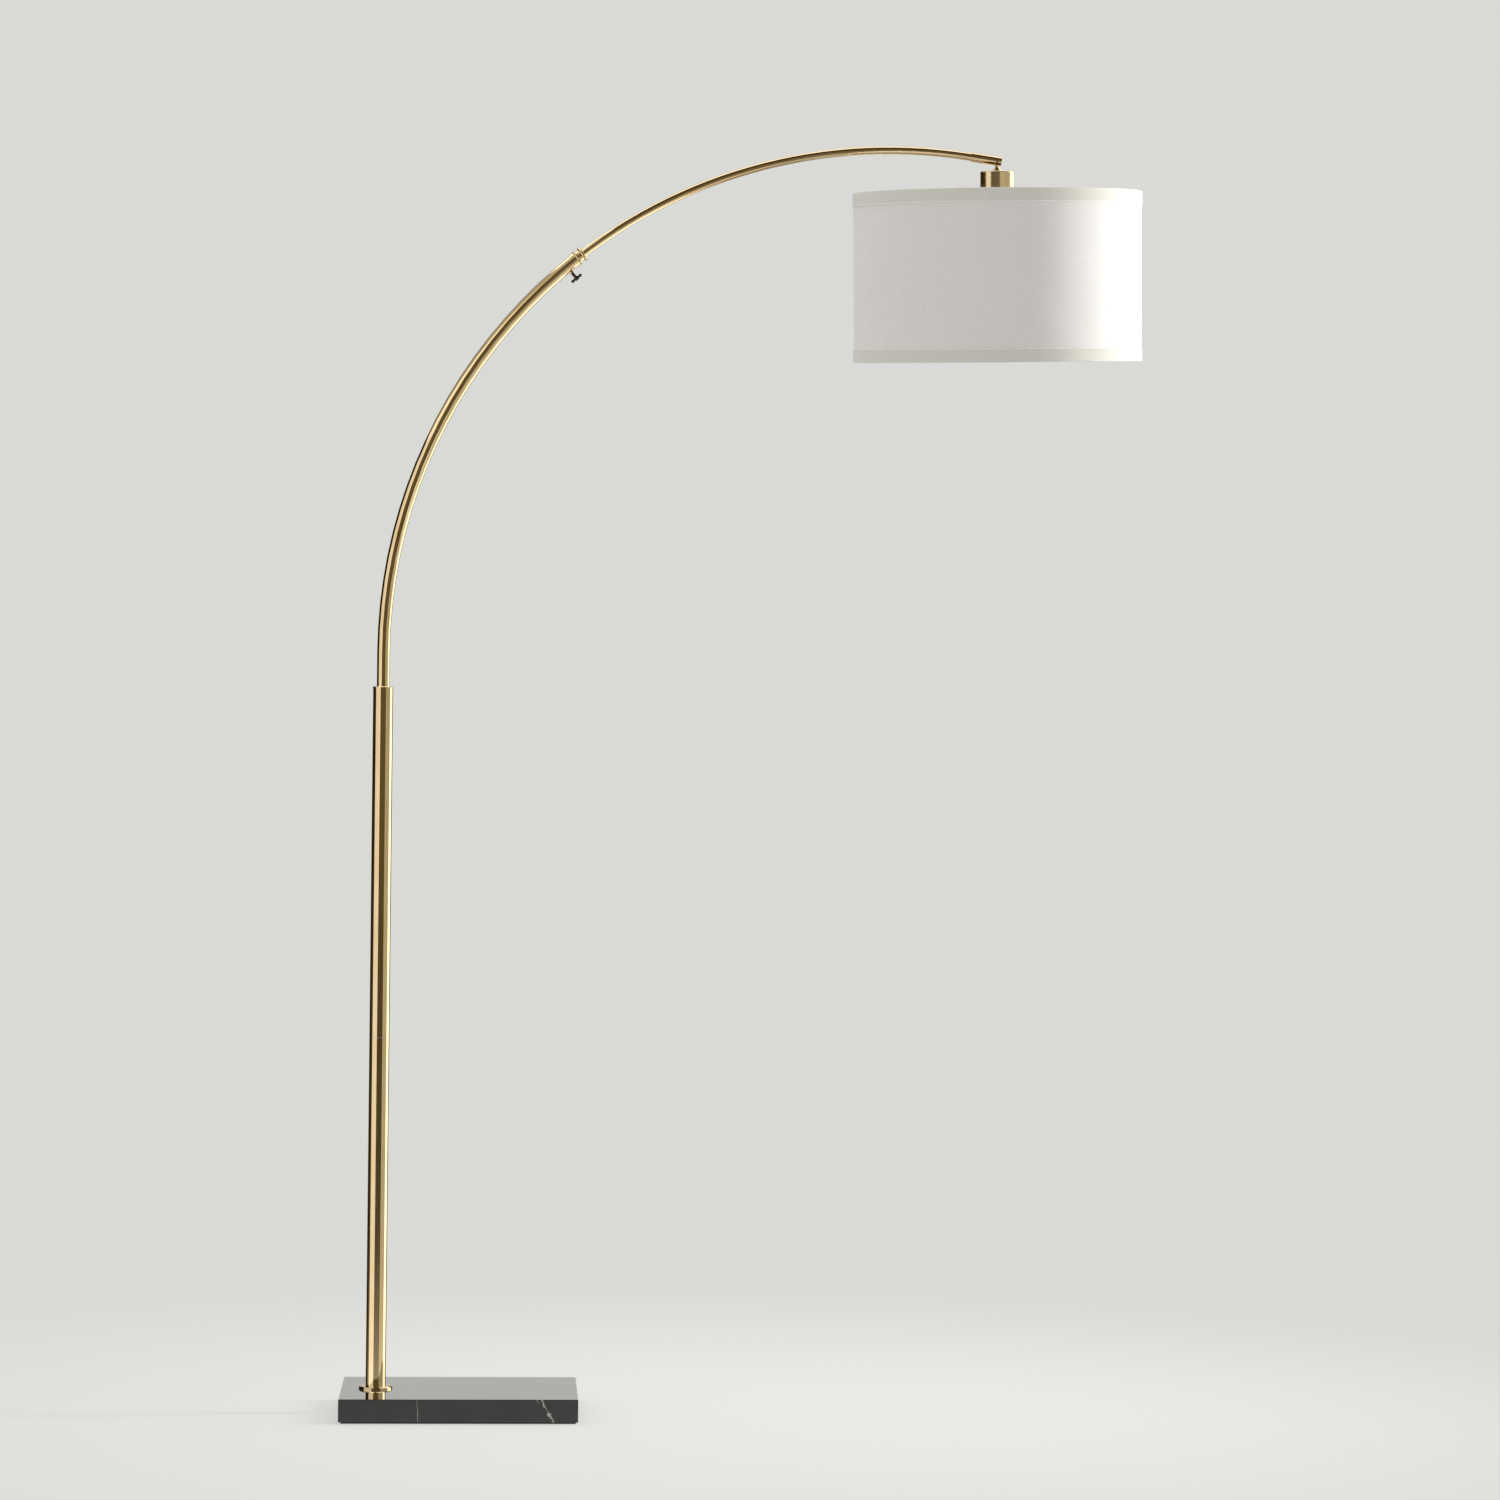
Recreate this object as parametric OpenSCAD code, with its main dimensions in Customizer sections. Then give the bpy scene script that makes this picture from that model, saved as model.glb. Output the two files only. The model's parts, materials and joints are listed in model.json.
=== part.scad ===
// Arc floor lamp: a stone slab carries a two-piece pole, a telescoping arc and a swivelling drum shade.
// Frame: +Z up, origin on the floor under the pole's axis, +X from the pole towards the shade.
// Lengths are in millimetres and angles in degrees. Angles along the arc start at the pole's side.

/* [Base] */
// Length of the stone slab, along the arm
base_len = 373; // [310:1:450]
// Depth of the stone slab, across the arm
base_depth = 249; // [200:1:320]
// Thickness of the stone slab
slab_thick = 35.5; // [29:0.5:50]
// Thickness of the felt sheet under the slab
felt_thick = 2.5; // [2:0.5:5]
// Distance from the slab's near edge to the pole's axis
pole_inset = 54.2; // [45:0.1:120]
// Radius of the steel plate under the slab
plate_r = 42; // [30:1:51]
// Depth of the round pocket for plate and nut
pocket_depth = 24; // [20:0.5:29]
// Outer diameter of the hollow threaded pipe
pipe_d = 16; // [12:0.5:20]
// Bore of the hollow threaded pipe
pipe_bore_d = 10; // [7:0.5:12]
// Bore of the cord inlet
inlet_bore_d = 6; // [5:0.2:7.4]

/* [Pole] */
// Outer diameter of the pole
pole_d = 32; // [26:0.5:40]
// Wall of the pole
pole_wall = 1.5; // [1:0.1:2]
// Height of the pole's top lip above the floor
pole_top = 1149; // [900:1:1400]
// Outer diameter of the ring round the pole's foot
ring_d = 53.6; // [44:0.1:70]
// Height of the ring round the pole's foot
ring_h = 4; // [3:0.5:8]

/* [Arc] */
// Radius of the arc, to the tubes' centreline
arc_r = 812; // [650:1:980]
// Height of the arc's centre above the pole's top
arc_rise = 55; // [30:1:90]
// Outer diameter of the fixed arc tube
lower_d = 20.5; // [17:0.1:25]
// Wall of the fixed arc tube
lower_wall = 1.5; // [1.2:0.1:2]
// Outer diameter of the sliding arc tube
upper_d = 12.7; // [10.5:0.1:15.3]
// Wall of the sliding arc tube
upper_wall = 1; // [0.8:0.1:1.3]
// Arc angle where the fixed tube ends
lower_end_angle = 51; // [42:0.5:62]
// Arc angle of the sliding tube's hidden end
upper_tail_angle = 33; // [31:0.5:40]
// Arc angle of the sliding tube's outer end
upper_end_angle = 98; // [90:0.5:105]

/* [Clamp] */
// Diameter of the clamp screw
screw_d = 5; // [4:0.1:6]
// Distance from the clamp screw to the tube's end, along the arc
screw_setback = 22.4; // [18:0.1:30]
// Distance from the tube's centreline to the cross bar
bar_reach = 24.2; // [20:0.1:32]
// Length of the cross bar between its end balls
bar_len = 15.2; // [12:0.1:24]

/* [Swivel] */
// Wall of the swivel housing
housing_wall = 1.18; // [0.9:0.02:2]
// Length of the swivel housing
housing_len = 49; // [40:0.5:60]
// Turn of the head round the arm's end at rest
swivel_rest = 6; // [0:0.5:10]
// Tilt of the head from plumb at rest
tilt_rest = 1.3; // [0:0.1:3]
// Neck diameter of the ball stem
neck_d = 6; // [5:0.1:7.2]

/* [Shade] */
// Diameter of the shade over its trims
shade_d = 463.6; // [385:1:560]
// Height of the shade
shade_h = 269.6; // [220:1:330]
// Height of the trim bands
trim_h = 20.6; // [15:0.1:30]
// Depth of the shade's top edge below the pivot
shade_drop = 50; // [40:0.5:58]
// Diameter of the brass cup over the lamp holder
cup_d = 54.4; // [45:0.1:70]
// Height of the brass cup
cup_h = 32; // [26.5:0.5:38.5]

/* [Hidden] */

$fn = 72;
arc_fn = 720;
shade_fn = 240;
tube_fn = 48;
round_fn = 32;
wire_fn = 24;
hex_sides = 6;
eps = 1;

brass = [0.78, 0.64, 0.38];
bright_brass = [0.85, 0.70, 0.40];
steel = [0.62, 0.63, 0.65];
gunmetal = [0.26, 0.24, 0.22];
nylon = [0.90, 0.89, 0.84];
flex = [0.80, 0.78, 0.70];
stone = [0.16, 0.16, 0.17];
felt = [0.12, 0.12, 0.12];
rubber = [0.10, 0.10, 0.10];
phenolic = [0.12, 0.10, 0.09];
porcelain = [0.85, 0.83, 0.78];
wire_white = [0.90, 0.90, 0.88];
liner_white = [0.95, 0.94, 0.90];
cloth = [0.93, 0.91, 0.87];
tape = [0.90, 0.88, 0.83];
bulb_metal = [0.80, 0.80, 0.80];
bulb_black = [0.20, 0.20, 0.20];
bulb_white = [0.94, 0.94, 0.93];
opal = [0.97, 0.97, 0.95];

// clearances
fit_gap = 0.05;
slide_gap = 0.1;
free_gap = 0.35;
glue_gap = 0.02;
seat_gap = 0.15;
plug_gap = 0.2;
journal_gap = 0.07;

// heights
slab_z = felt_thick;
slab_top = slab_z + slab_thick;
edge_break = 0.8;
felt_inset = 4;
hex_factor = 1 / cos(30);

// slab and foot fixing
pocket_top = slab_z + pocket_depth;
pocket_clear = 2;
plate_t = 3;
washer_r = 15;
washer_t = 2.5;
nut_margin = 4;
nut_af = pipe_d + 2 * nut_margin;
nut_t = 8;
pipe_r = pipe_d / 2;
pipe_bore_r = pipe_bore_d / 2;
pipe_proud = 0.5;
pipe_low = pocket_top - plate_t - washer_t - nut_t - pipe_proud;
pipe_clear = 0.3;
pipe_hole_r = pipe_r + pipe_clear;
foot_plug_h = 30;
plug_recess = 2;
pipe_top = slab_top + foot_plug_h - plug_recess;
ring_chamfer = 1.2;

// cord channel
channel_w = 9;
channel_z = slab_z + channel_w / 2;
rear_y = base_depth / 2;
grommet_len = 14;
flange_t = 2;
flange_w = 12;
inlet_r = inlet_bore_d / 2;
lead_r = 2.4;
lead_bend = 6;
lead_gap = 2;
lead_start_y = rear_y - grommet_len - lead_gap;

// pole
pole_r = pole_d / 2;
pole_in_r = pole_r - pole_wall;
insert_r = pole_in_r - fit_gap;
lip_h = 3;
lip_proud = 0.5;
lip_chamfer = 1;
pole_end = pole_top - lip_h;
seam_z = (slab_top + pole_top) / 2;
seam_gap = 1.2;
seam_inset = 0.3;
coupler_len = 80;
coupler_wall = 2;
cap_plug_h = 24;
root_len = 60;
root_bush_h = 20;
root_margin = 4;
root_bush_z = pole_top - root_len + root_margin;
root_screw_r = 2.5;
root_screw_z = root_bush_z + root_bush_h / 2;
root_socket_depth = 2.5;

// arc
arc_z = pole_top + arc_rise;
lower_r = lower_d / 2;
lower_in_r = lower_r - lower_wall;
upper_r = upper_d / 2;
upper_in_r = upper_r - upper_wall;
seat_r = lower_r + seat_gap;
deg_per_mm = 180 / (PI * arc_r);
bush_len = 14;
slider_len = 20;
rivet_angle = upper_tail_angle + slider_len / 2 * deg_per_mm;
rivet_r = 1.5;
lead_tail = 1;
lead_joint_gap = 10;
lead_joint_z = pole_top - root_len - lead_joint_gap;

// clamp
screw_angle = lower_end_angle - screw_setback * deg_per_mm;
screw_r = screw_d / 2;
screw_hole_r = screw_r + fit_gap;
pad_r = screw_hole_r - slide_gap;
pad_low = upper_r + plug_gap;
tip_sink = 0.7;
screw_tip = lower_r - tip_sink;
boss_wall = 1;
boss_r = screw_r + boss_wall;
boss_h = 3.2;
boss_root = 2;
boss_top = lower_r + boss_h;
hub_r = 3.3;
hub_half = 3.2;
bar_r = 2;
ball_r = 2.7;
band_start = -10.5;
band_end = -4.5;
band_t = 0.95;
band_r = lower_r + band_t;
sleeve_t = 0.6;
bead_r = 2.6;
bead_inset = 0.75;
bead_centre_r = lower_r - bead_inset;
bead_z = [-0.5, 9.4];
core_inset = 1.05;
collar_core_r = lower_r - core_inset;
collar_end = 11.6;
collar_clear = 0.45;
collar_bore_r = upper_r + collar_clear;

// swivel, along the arm's end tangent
housing_bore_r = upper_r + journal_gap;
housing_r = housing_bore_r + housing_wall;
journal_len = 28;
spigot_plug_len = 12;
spigot_plug_r = upper_in_r - plug_gap;
spigot_bore_r = 3.4;
groove_low = 12;
groove_w = 3.4;
groove_depth = 1.35;
groove_r = upper_r - groove_depth;
ball_clear = 1.02;
ball_stem_r = housing_bore_r - ball_clear;
housing_low = 3.5;
housing_high = housing_low + housing_len;
end_plug_t = 1.2;
end_clear = 0.3;
pivot_s = housing_high - end_plug_t - end_clear - ball_stem_r;
slot_clear = 0.5;
slot_w = neck_d + 2 * slot_clear;
slot_back = 5;
notch_x = 1.5;
set_screw_r = 1.5;
set_screw_sink = 0.1;
set_socket_depth = 1.1;
pivot_screw_r = 1.5;
pivot_head_r = 2.4;
pivot_head_t = 1.4;
pivot_sink = 0.5;
pivot_seat = housing_r - pivot_sink;
pivot_slot_depth = 0.6;
driver_w = 0.8;

// ball stem, below the pivot
ball_trim = 0.8;
ball_flat = ball_stem_r - ball_trim;
pivot_depth = 1.3;
pivot_tip = ball_flat - pivot_depth;
neck_r = neck_d / 2;
neck_root = 2;
flare_clear = 1.4;
flare_start = housing_r + flare_clear;
flare_len = 5.5;
flare_end = flare_start + flare_len;
flare_r = 6.5;
flare_rim = 1.5;
cup_top = flare_end + flare_rim;
stem_r = 5;
stem_end = 38;
stem_bore_r = 2;
head_lead_r = 1.8;
head_lead_clear = 2.5;

// lamp holder and cup
cup_r = cup_d / 2;
cup_wall = 1.2;
cup_round = 2.5;
washer_low = cup_top + cup_wall;
tooth_washer_t = 1;
tooth_washer_r = 9;
tooth_count = 16;
tooth_w = 1.2;
stem_nut_af = 17;
stem_nut_t = 5;
holder_top = 27;
holder_top_r = 10;
holder_r = 19;
holder_in_r = 15;
shoulder = 2;
shoulder_end = 5;
holder_roof = 40;
flange_low = 68.5;
holder_flange_t = 2.5;
holder_flange_r = 21.5;
holder_end = 90;
block_top = 56;
block_t = 4;
block_r = holder_in_r - plug_gap;
terminal_r = 1.75;
terminal_x = 8;
terminal_len = 2.8;
terminal_head_r = 3;
terminal_head_t = 2;
shell_r = 14;
shell_wall = 0.6;
shell_top = 62;
shell_len = 23;
contact_r = 3.5;
contact_t = 1.2;

// spider and shade
spider_ring_r = 26;
spider_ring_t = 3.2;
spider_clear = 0.6;
spider_bore_r = holder_r + spider_clear;
ring_nut_r = 24.5;
ring_nut_t = 7;
grip_count = 18;
grip_notch = 1.6;
arm_count = 3;
arm_overlap = 1;
arm_rod_r = 1.5;
arm_azimuth = 60;
wire_r = 1.75;
wire_inset = 3;
trim_t = 1.2;
fabric_t = 0.8;
fabric_inset = 0.3;
liner_t = 0.6;
liner_inset = 0.5;
shade_r = shade_d / 2;
fabric_r = shade_r - trim_t;
liner_r = fabric_r - fabric_t;
wire_ring_r = liner_r - liner_t - wire_r - slide_gap;

// bulb
tip_gap = 0.3;
bulb_tip_depth = block_top + block_t + contact_t + tip_gap;
bulb_tip_len = 3;
button_r = 4;
insulator_r = 10;
bulb_base_r = 13.1;
bulb_base_top = bulb_tip_depth + bulb_tip_len;
bulb_base_len = 22;
bulb_neck_gap = 1.3;
bulb_neck_r = holder_in_r - bulb_neck_gap;
bulb_body_len = 34;
bulb_body_r = 24;
globe_r = 30;
bulb_len = 108;
globe_depth = bulb_tip_depth + bulb_len - globe_r;
bulb_body_low = bulb_base_top + bulb_base_len;
glass_t = 1;

// switch
switch_below_cup = 8;
switch_depth = cup_top + cup_h + switch_below_cup;
spindle_r = 2;
spindle_in = 15.6;
knob_start = 27;
knob_len = 14;
knob_r = 5.5;
knob_flutes = 12;
flute_r = 1.05;
flute_depth = 0.7;

// frames -------------------------------------------------------------

function arc_point(a) = [arc_r - arc_r * cos(a), 0, arc_z + arc_r * sin(a)];

// local +Z runs along the arc, local +X points to the arc's centre
module at_arc(a) {
    translate(arc_point(a)) rotate([0, a, 0]) children();
}

// local +Z is the swivel axis, turned with the housing
module at_swivel() {
    at_arc(upper_end_angle) rotate([0, 0, swivel_rest]) children();
}

// origin at the pivot, local +Z up along the shade's axis
module at_head() {
    at_swivel() translate([0, 0, pivot_s]) rotate([0, -upper_end_angle - tilt_rest, 0]) children();
}

// shapes -------------------------------------------------------------

module ring(r_out, r_in, h) {
    difference() {
        cylinder(r = r_out, h = h);
        translate([0, 0, -eps]) cylinder(r = r_in, h = h + 2 * eps);
    }
}

module hex_nut(af, bore_r, h) {
    difference() {
        cylinder(r = af / 2 * hex_factor, h = h, $fn = hex_sides);
        translate([0, 0, -eps]) cylinder(r = bore_r, h = h + 2 * eps);
    }
}

module rod_along_x(r, x0, x1) {
    translate([x0, 0, 0]) rotate([0, 90, 0]) cylinder(r = r, h = x1 - x0);
}

module rod_along_y(r, y0, y1) {
    translate([0, y1, 0]) rotate([90, 0, 0]) cylinder(r = r, h = y1 - y0);
}

// a tube or rod bent to the arc's radius through an angle, starting on the plane of its own frame
module bend(r_out, r_in, angle) {
    rotate_extrude(angle = angle, $fn = arc_fn)
        translate([arc_r, 0])
            difference() {
                circle(r = r_out, $fn = tube_fn);
                if (r_in > 0) circle(r = r_in, $fn = tube_fn);
            }
}

// a tube or rod on the lamp's arc, from angle a0 up to a1
module bent_tube(r_out, r_in, a0, a1) {
    translate([arc_r, 0, arc_z]) mirror([1, 0, 0]) rotate([90, 0, 0]) rotate([0, 0, a0])
        bend(r_out, r_in, a1 - a0);
}

// in the frame of at_arc: a rod that comes up the arc and ends at the frame's origin
module bent_tail(r, angle) {
    translate([arc_r, 0, 0]) mirror([1, 0, 0]) rotate([-90, 0, 0]) bend(r, 0, angle);
}

module chamfered_rect(a, b, c) {
    polygon([
        [-a / 2 + c, -b / 2], [a / 2 - c, -b / 2], [a / 2, -b / 2 + c], [a / 2, b / 2 - c],
        [a / 2 - c, b / 2], [-a / 2 + c, b / 2], [-a / 2, b / 2 - c], [-a / 2, -b / 2 + c]
    ]);
}

// a block with every edge broken, standing on z = 0
module chamfered_block(l, d, h, c) {
    intersection() {
        linear_extrude(h) chamfered_rect(l, d, c);
        translate([0, d, h / 2]) rotate([90, 0, 0]) linear_extrude(2 * d) chamfered_rect(l, h, c);
        translate([-l, 0, h / 2]) rotate([90, 0, 90]) linear_extrude(2 * l) chamfered_rect(d, h, c);
    }
}

module wire_ring(depth) {
    translate([0, 0, -depth])
        rotate_extrude($fn = shade_fn) translate([wire_ring_r, 0]) circle(r = wire_r, $fn = wire_fn);
}

module shade_band(r_out, t, depth, h) {
    translate([0, 0, -depth - h]) difference() {
        cylinder(r = r_out, h = h, $fn = shade_fn);
        translate([0, 0, -eps]) cylinder(r = r_out - t, h = h + 2 * eps, $fn = shade_fn);
    }
}

// base ---------------------------------------------------------------

module over_base() {
    translate([base_len / 2 - pole_inset, 0, 0]) children();
}

module base_felt() {
    color(felt) over_base()
        linear_extrude(felt_thick)
            square([base_len - 2 * felt_inset, base_depth - 2 * felt_inset], center = true);
}

module base_slab() {
    color(stone) difference() {
        over_base() translate([0, 0, slab_z])
            chamfered_block(base_len, base_depth, slab_thick, edge_break);
        translate([0, 0, slab_z - eps]) cylinder(r = plate_r + pocket_clear, h = pocket_depth + eps);
        translate([0, 0, slab_z]) cylinder(r = pipe_hole_r, h = slab_thick + eps);
        translate([-channel_w / 2, 0, slab_z - eps]) cube([channel_w, rear_y + eps, channel_w + eps]);
    }
}

module load_plate() {
    color(steel) translate([0, 0, pocket_top - plate_t]) ring(plate_r, pipe_hole_r, plate_t);
}

module lock_washer() {
    color(steel) translate([0, 0, pocket_top - plate_t - washer_t]) ring(washer_r, pipe_hole_r, washer_t);
}

module base_nut() {
    color(steel) translate([0, 0, pocket_top - plate_t - washer_t - nut_t])
        hex_nut(nut_af, pipe_r + fit_gap, nut_t);
}

module base_pipe() {
    color(steel) translate([0, 0, pipe_low]) ring(pipe_r, pipe_bore_r, pipe_top - pipe_low);
}

module foot_plug() {
    color(steel) translate([0, 0, slab_top]) ring(insert_r, pipe_r + fit_gap, foot_plug_h);
}

module base_ring() {
    color(brass) translate([0, 0, slab_top]) rotate_extrude() polygon([
        [pole_r + slide_gap, 0], [ring_d / 2, 0], [ring_d / 2, ring_h - ring_chamfer],
        [ring_d / 2 - ring_chamfer, ring_h], [pole_r + slide_gap, ring_h]
    ]);
}

module cord_grommet() {
    body_w = channel_w - 2 * slide_gap;
    color(rubber) difference() {
        union() {
            translate([-body_w / 2, rear_y - grommet_len, slab_z + slide_gap])
                cube([body_w, grommet_len, body_w]);
            translate([-flange_w / 2, rear_y, channel_z - flange_w / 2])
                cube([flange_w, flange_t, flange_w]);
        }
        translate([0, 0, channel_z])
            rod_along_y(inlet_r, rear_y - grommet_len - eps, rear_y + flange_t + eps);
    }
}

// pole ---------------------------------------------------------------

module lower_pole() {
    color(brass) translate([0, 0, slab_top])
        ring(pole_r, pole_in_r, seam_z - seam_gap / 2 - slab_top);
}

module pole_coupler() {
    color(steel) translate([0, 0, seam_z]) difference() {
        union() {
            translate([0, 0, -coupler_len / 2]) cylinder(r = insert_r, h = coupler_len);
            translate([0, 0, -seam_gap / 2]) cylinder(r = pole_r - seam_inset, h = seam_gap);
        }
        translate([0, 0, -coupler_len / 2 - eps])
            cylinder(r = insert_r - coupler_wall, h = coupler_len + 2 * eps);
    }
}

module upper_pole() {
    color(brass) difference() {
        translate([0, 0, seam_z + seam_gap / 2])
            ring(pole_r, pole_in_r, pole_end - seam_z - seam_gap / 2);
        translate([0, 0, root_screw_z])
            rod_along_y(root_screw_r + slide_gap, pole_in_r - eps, pole_r + eps);
    }
}

module pole_top_cap() {
    color(brass) translate([0, 0, pole_end]) rotate_extrude() polygon([
        [seat_r, -cap_plug_h], [insert_r, -cap_plug_h], [insert_r, 0], [pole_r + lip_proud, 0],
        [pole_r + lip_proud, lip_h - lip_chamfer], [pole_r + lip_proud - lip_chamfer, lip_h],
        [seat_r, lip_h]
    ]);
}

module arc_root_bush() {
    color(steel) difference() {
        translate([0, 0, root_bush_z]) ring(insert_r, seat_r, root_bush_h);
        translate([0, 0, root_screw_z]) rod_along_y(root_screw_r + fit_gap, seat_r - eps, insert_r + eps);
    }
}

module root_set_screw() {
    color(steel) translate([0, 0, root_screw_z]) difference() {
        rod_along_y(root_screw_r, lower_r + glue_gap, pole_r);
        translate([0, pole_r + eps, 0]) rotate([90, 0, 0])
            cylinder(r = root_screw_r / 2, h = root_socket_depth + eps, $fn = hex_sides);
    }
}

// arc ----------------------------------------------------------------

module lower_arc() {
    color(brass) difference() {
        union() {
            translate([0, 0, pole_top - root_len])
                ring(lower_r, lower_in_r, arc_z - pole_top + root_len);
            bent_tube(lower_r, lower_in_r, 0, lower_end_angle);
        }
        at_arc(screw_angle) rod_along_x(screw_hole_r, lower_in_r - eps, lower_r + eps);
    }
}

module collar_bush() {
    color(nylon) bent_tube(lower_in_r - fit_gap, upper_r + slide_gap,
        lower_end_angle - bush_len * deg_per_mm, lower_end_angle);
}

module clamp_collar() {
    color(bright_brass) at_arc(lower_end_angle) rotate_extrude() difference() {
        union() {
            translate([seat_r, band_start]) square([band_r - seat_r, band_end - band_start]);
            translate([seat_r, band_start]) square([lower_r + sleeve_t - seat_r, -band_start]);
            translate([collar_bore_r, glue_gap])
                square([collar_core_r - collar_bore_r, collar_end - glue_gap]);
            for (z = bead_z) translate([bead_centre_r, z]) circle(r = bead_r, $fn = round_fn);
        }
        translate([0, band_start - eps]) square([seat_r, glue_gap - band_start + eps]);
        square([collar_bore_r, collar_end + eps]);
    }
}

module screw_boss() {
    color(bright_brass) at_arc(screw_angle) difference() {
        rod_along_x(boss_r, lower_r - boss_root, boss_top);
        translate([0, 0, -boss_r - eps]) cylinder(r = lower_r + glue_gap, h = 2 * (boss_r + eps));
        rod_along_x(screw_hole_r, 0, boss_top + eps);
    }
}

// clamp screw --------------------------------------------------------

module pressure_pad() {
    color(nylon) at_arc(screw_angle) rod_along_x(pad_r, pad_low, screw_tip);
}

module thumb_screw() {
    color(gunmetal) at_arc(screw_angle) difference() {
        union() {
            rod_along_x(screw_r, screw_tip, bar_reach);
            rod_along_x(hub_r, bar_reach - hub_half, bar_reach + hub_half);
        }
        translate([bar_reach, 0, -hub_r - eps]) cylinder(r = bar_r + glue_gap, h = 2 * (hub_r + eps));
    }
}

module t_bar() {
    color(gunmetal) at_arc(screw_angle) translate([bar_reach, 0, -bar_len / 2])
        cylinder(r = bar_r, h = bar_len);
}

module bar_end_balls() {
    color(gunmetal) at_arc(screw_angle) for (side = [-1, 1])
        translate([bar_reach, 0, side * bar_len / 2]) difference() {
            sphere(r = ball_r);
            translate([0, 0, side > 0 ? -2 * ball_r : 0]) cylinder(r = bar_r + glue_gap, h = 2 * ball_r);
        }
}

// arm ----------------------------------------------------------------

module rivet_holes(extra) {
    at_arc(rivet_angle) for (side = [0, 180]) rotate([0, 0, side])
        rod_along_y(rivet_r + extra, upper_in_r - eps, lower_in_r);
}

module slider_plug() {
    color(nylon) difference() {
        bent_tube(lower_in_r - slide_gap, upper_r + glue_gap,
            upper_tail_angle, upper_tail_angle + slider_len * deg_per_mm);
        rivet_holes(glue_gap);
    }
}

module slider_rivets() {
    color(steel) at_arc(rivet_angle) for (side = [0, 180]) rotate([0, 0, side])
        rod_along_y(rivet_r, upper_in_r, lower_in_r - 2 * free_gap);
}

module upper_arc() {
    color(brass) difference() {
        bent_tube(upper_r, upper_in_r, upper_tail_angle, upper_end_angle);
        rivet_holes(glue_gap);
    }
}

module swivel_spigot() {
    color(brass) at_arc(upper_end_angle) rotate_extrude() polygon([
        [spigot_bore_r, -spigot_plug_len], [spigot_plug_r, -spigot_plug_len], [spigot_plug_r, 0],
        [upper_r, 0], [upper_r, groove_low], [groove_r, groove_low],
        [groove_r, groove_low + groove_w], [upper_r, groove_low + groove_w],
        [upper_r, journal_len], [spigot_bore_r, journal_len]
    ]);
}

// leads --------------------------------------------------------------

module pole_lead() {
    color(flex) {
        translate([0, 0, channel_z]) rod_along_y(lead_r, lead_bend, lead_start_y);
        translate([0, lead_bend, channel_z + lead_bend]) rotate([90, 0, -90])
            rotate_extrude(angle = 90, start = 270)
                translate([lead_bend, 0]) circle(r = lead_r, $fn = wire_fn);
        translate([0, 0, channel_z + lead_bend])
            cylinder(r = lead_r, h = lead_joint_z - channel_z - lead_bend);
    }
}

module slack_lead() {
    color(flex) union() {
        translate([0, 0, lead_joint_z]) cylinder(r = lead_r, h = arc_z - lead_joint_z);
        bent_tube(lead_r, 0, 0, upper_tail_angle - lead_tail);
    }
}

module arm_lead() {
    color(flex) at_arc(upper_end_angle) union() {
        bent_tail(lead_r, upper_end_angle - upper_tail_angle + lead_tail);
        cylinder(r = lead_r, h = journal_len - lead_tail);
    }
}

// swivel -------------------------------------------------------------

module swivel_housing() {
    color(brass) at_swivel() difference() {
        translate([0, 0, housing_low]) ring(housing_r, housing_bore_r, housing_len);
        translate([0, -slot_w / 2, pivot_s - slot_back])
            cube([housing_r + eps, slot_w, housing_high - pivot_s + slot_back + eps]);
        translate([0, 0, groove_low + groove_w / 2])
            rod_along_x(set_screw_r + glue_gap, groove_r, housing_r + eps);
        for (side = [0, 180]) rotate([0, 0, side]) translate([0, 0, pivot_s]) {
            rod_along_y(pivot_screw_r + glue_gap, pivot_tip, housing_r + eps);
            rod_along_y(pivot_head_r + slide_gap, pivot_seat, housing_r + eps);
        }
    }
}

module housing_end_plug() {
    color(brass) at_swivel() difference() {
        translate([0, 0, housing_high - end_plug_t])
            cylinder(r = housing_bore_r - glue_gap, h = end_plug_t);
        translate([notch_x, -slot_w / 2, housing_high - end_plug_t - eps])
            cube([housing_r, slot_w, end_plug_t + 2 * eps]);
    }
}

module swivel_set_screw() {
    color(steel) at_swivel() translate([0, 0, groove_low + groove_w / 2]) difference() {
        rod_along_x(set_screw_r, groove_r + free_gap, housing_r - set_screw_sink);
        translate([housing_r - set_screw_sink - set_socket_depth, 0, 0]) rotate([0, 90, 0])
            cylinder(r = set_screw_r / 2, h = set_socket_depth + eps, $fn = hex_sides);
    }
}

module pivot_screws() {
    color(bright_brass) at_swivel() translate([0, 0, pivot_s])
        for (side = [0, 180]) rotate([0, 0, side]) difference() {
            union() {
                rod_along_y(pivot_screw_r, pivot_tip, pivot_seat);
                rod_along_y(pivot_head_r, pivot_seat, pivot_seat + pivot_head_t);
            }
            translate([-driver_w / 2, pivot_seat + pivot_head_t - pivot_slot_depth, -pivot_head_r - eps])
                cube([driver_w, pivot_slot_depth + eps, 2 * (pivot_head_r + eps)]);
        }
}

// head ---------------------------------------------------------------

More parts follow.
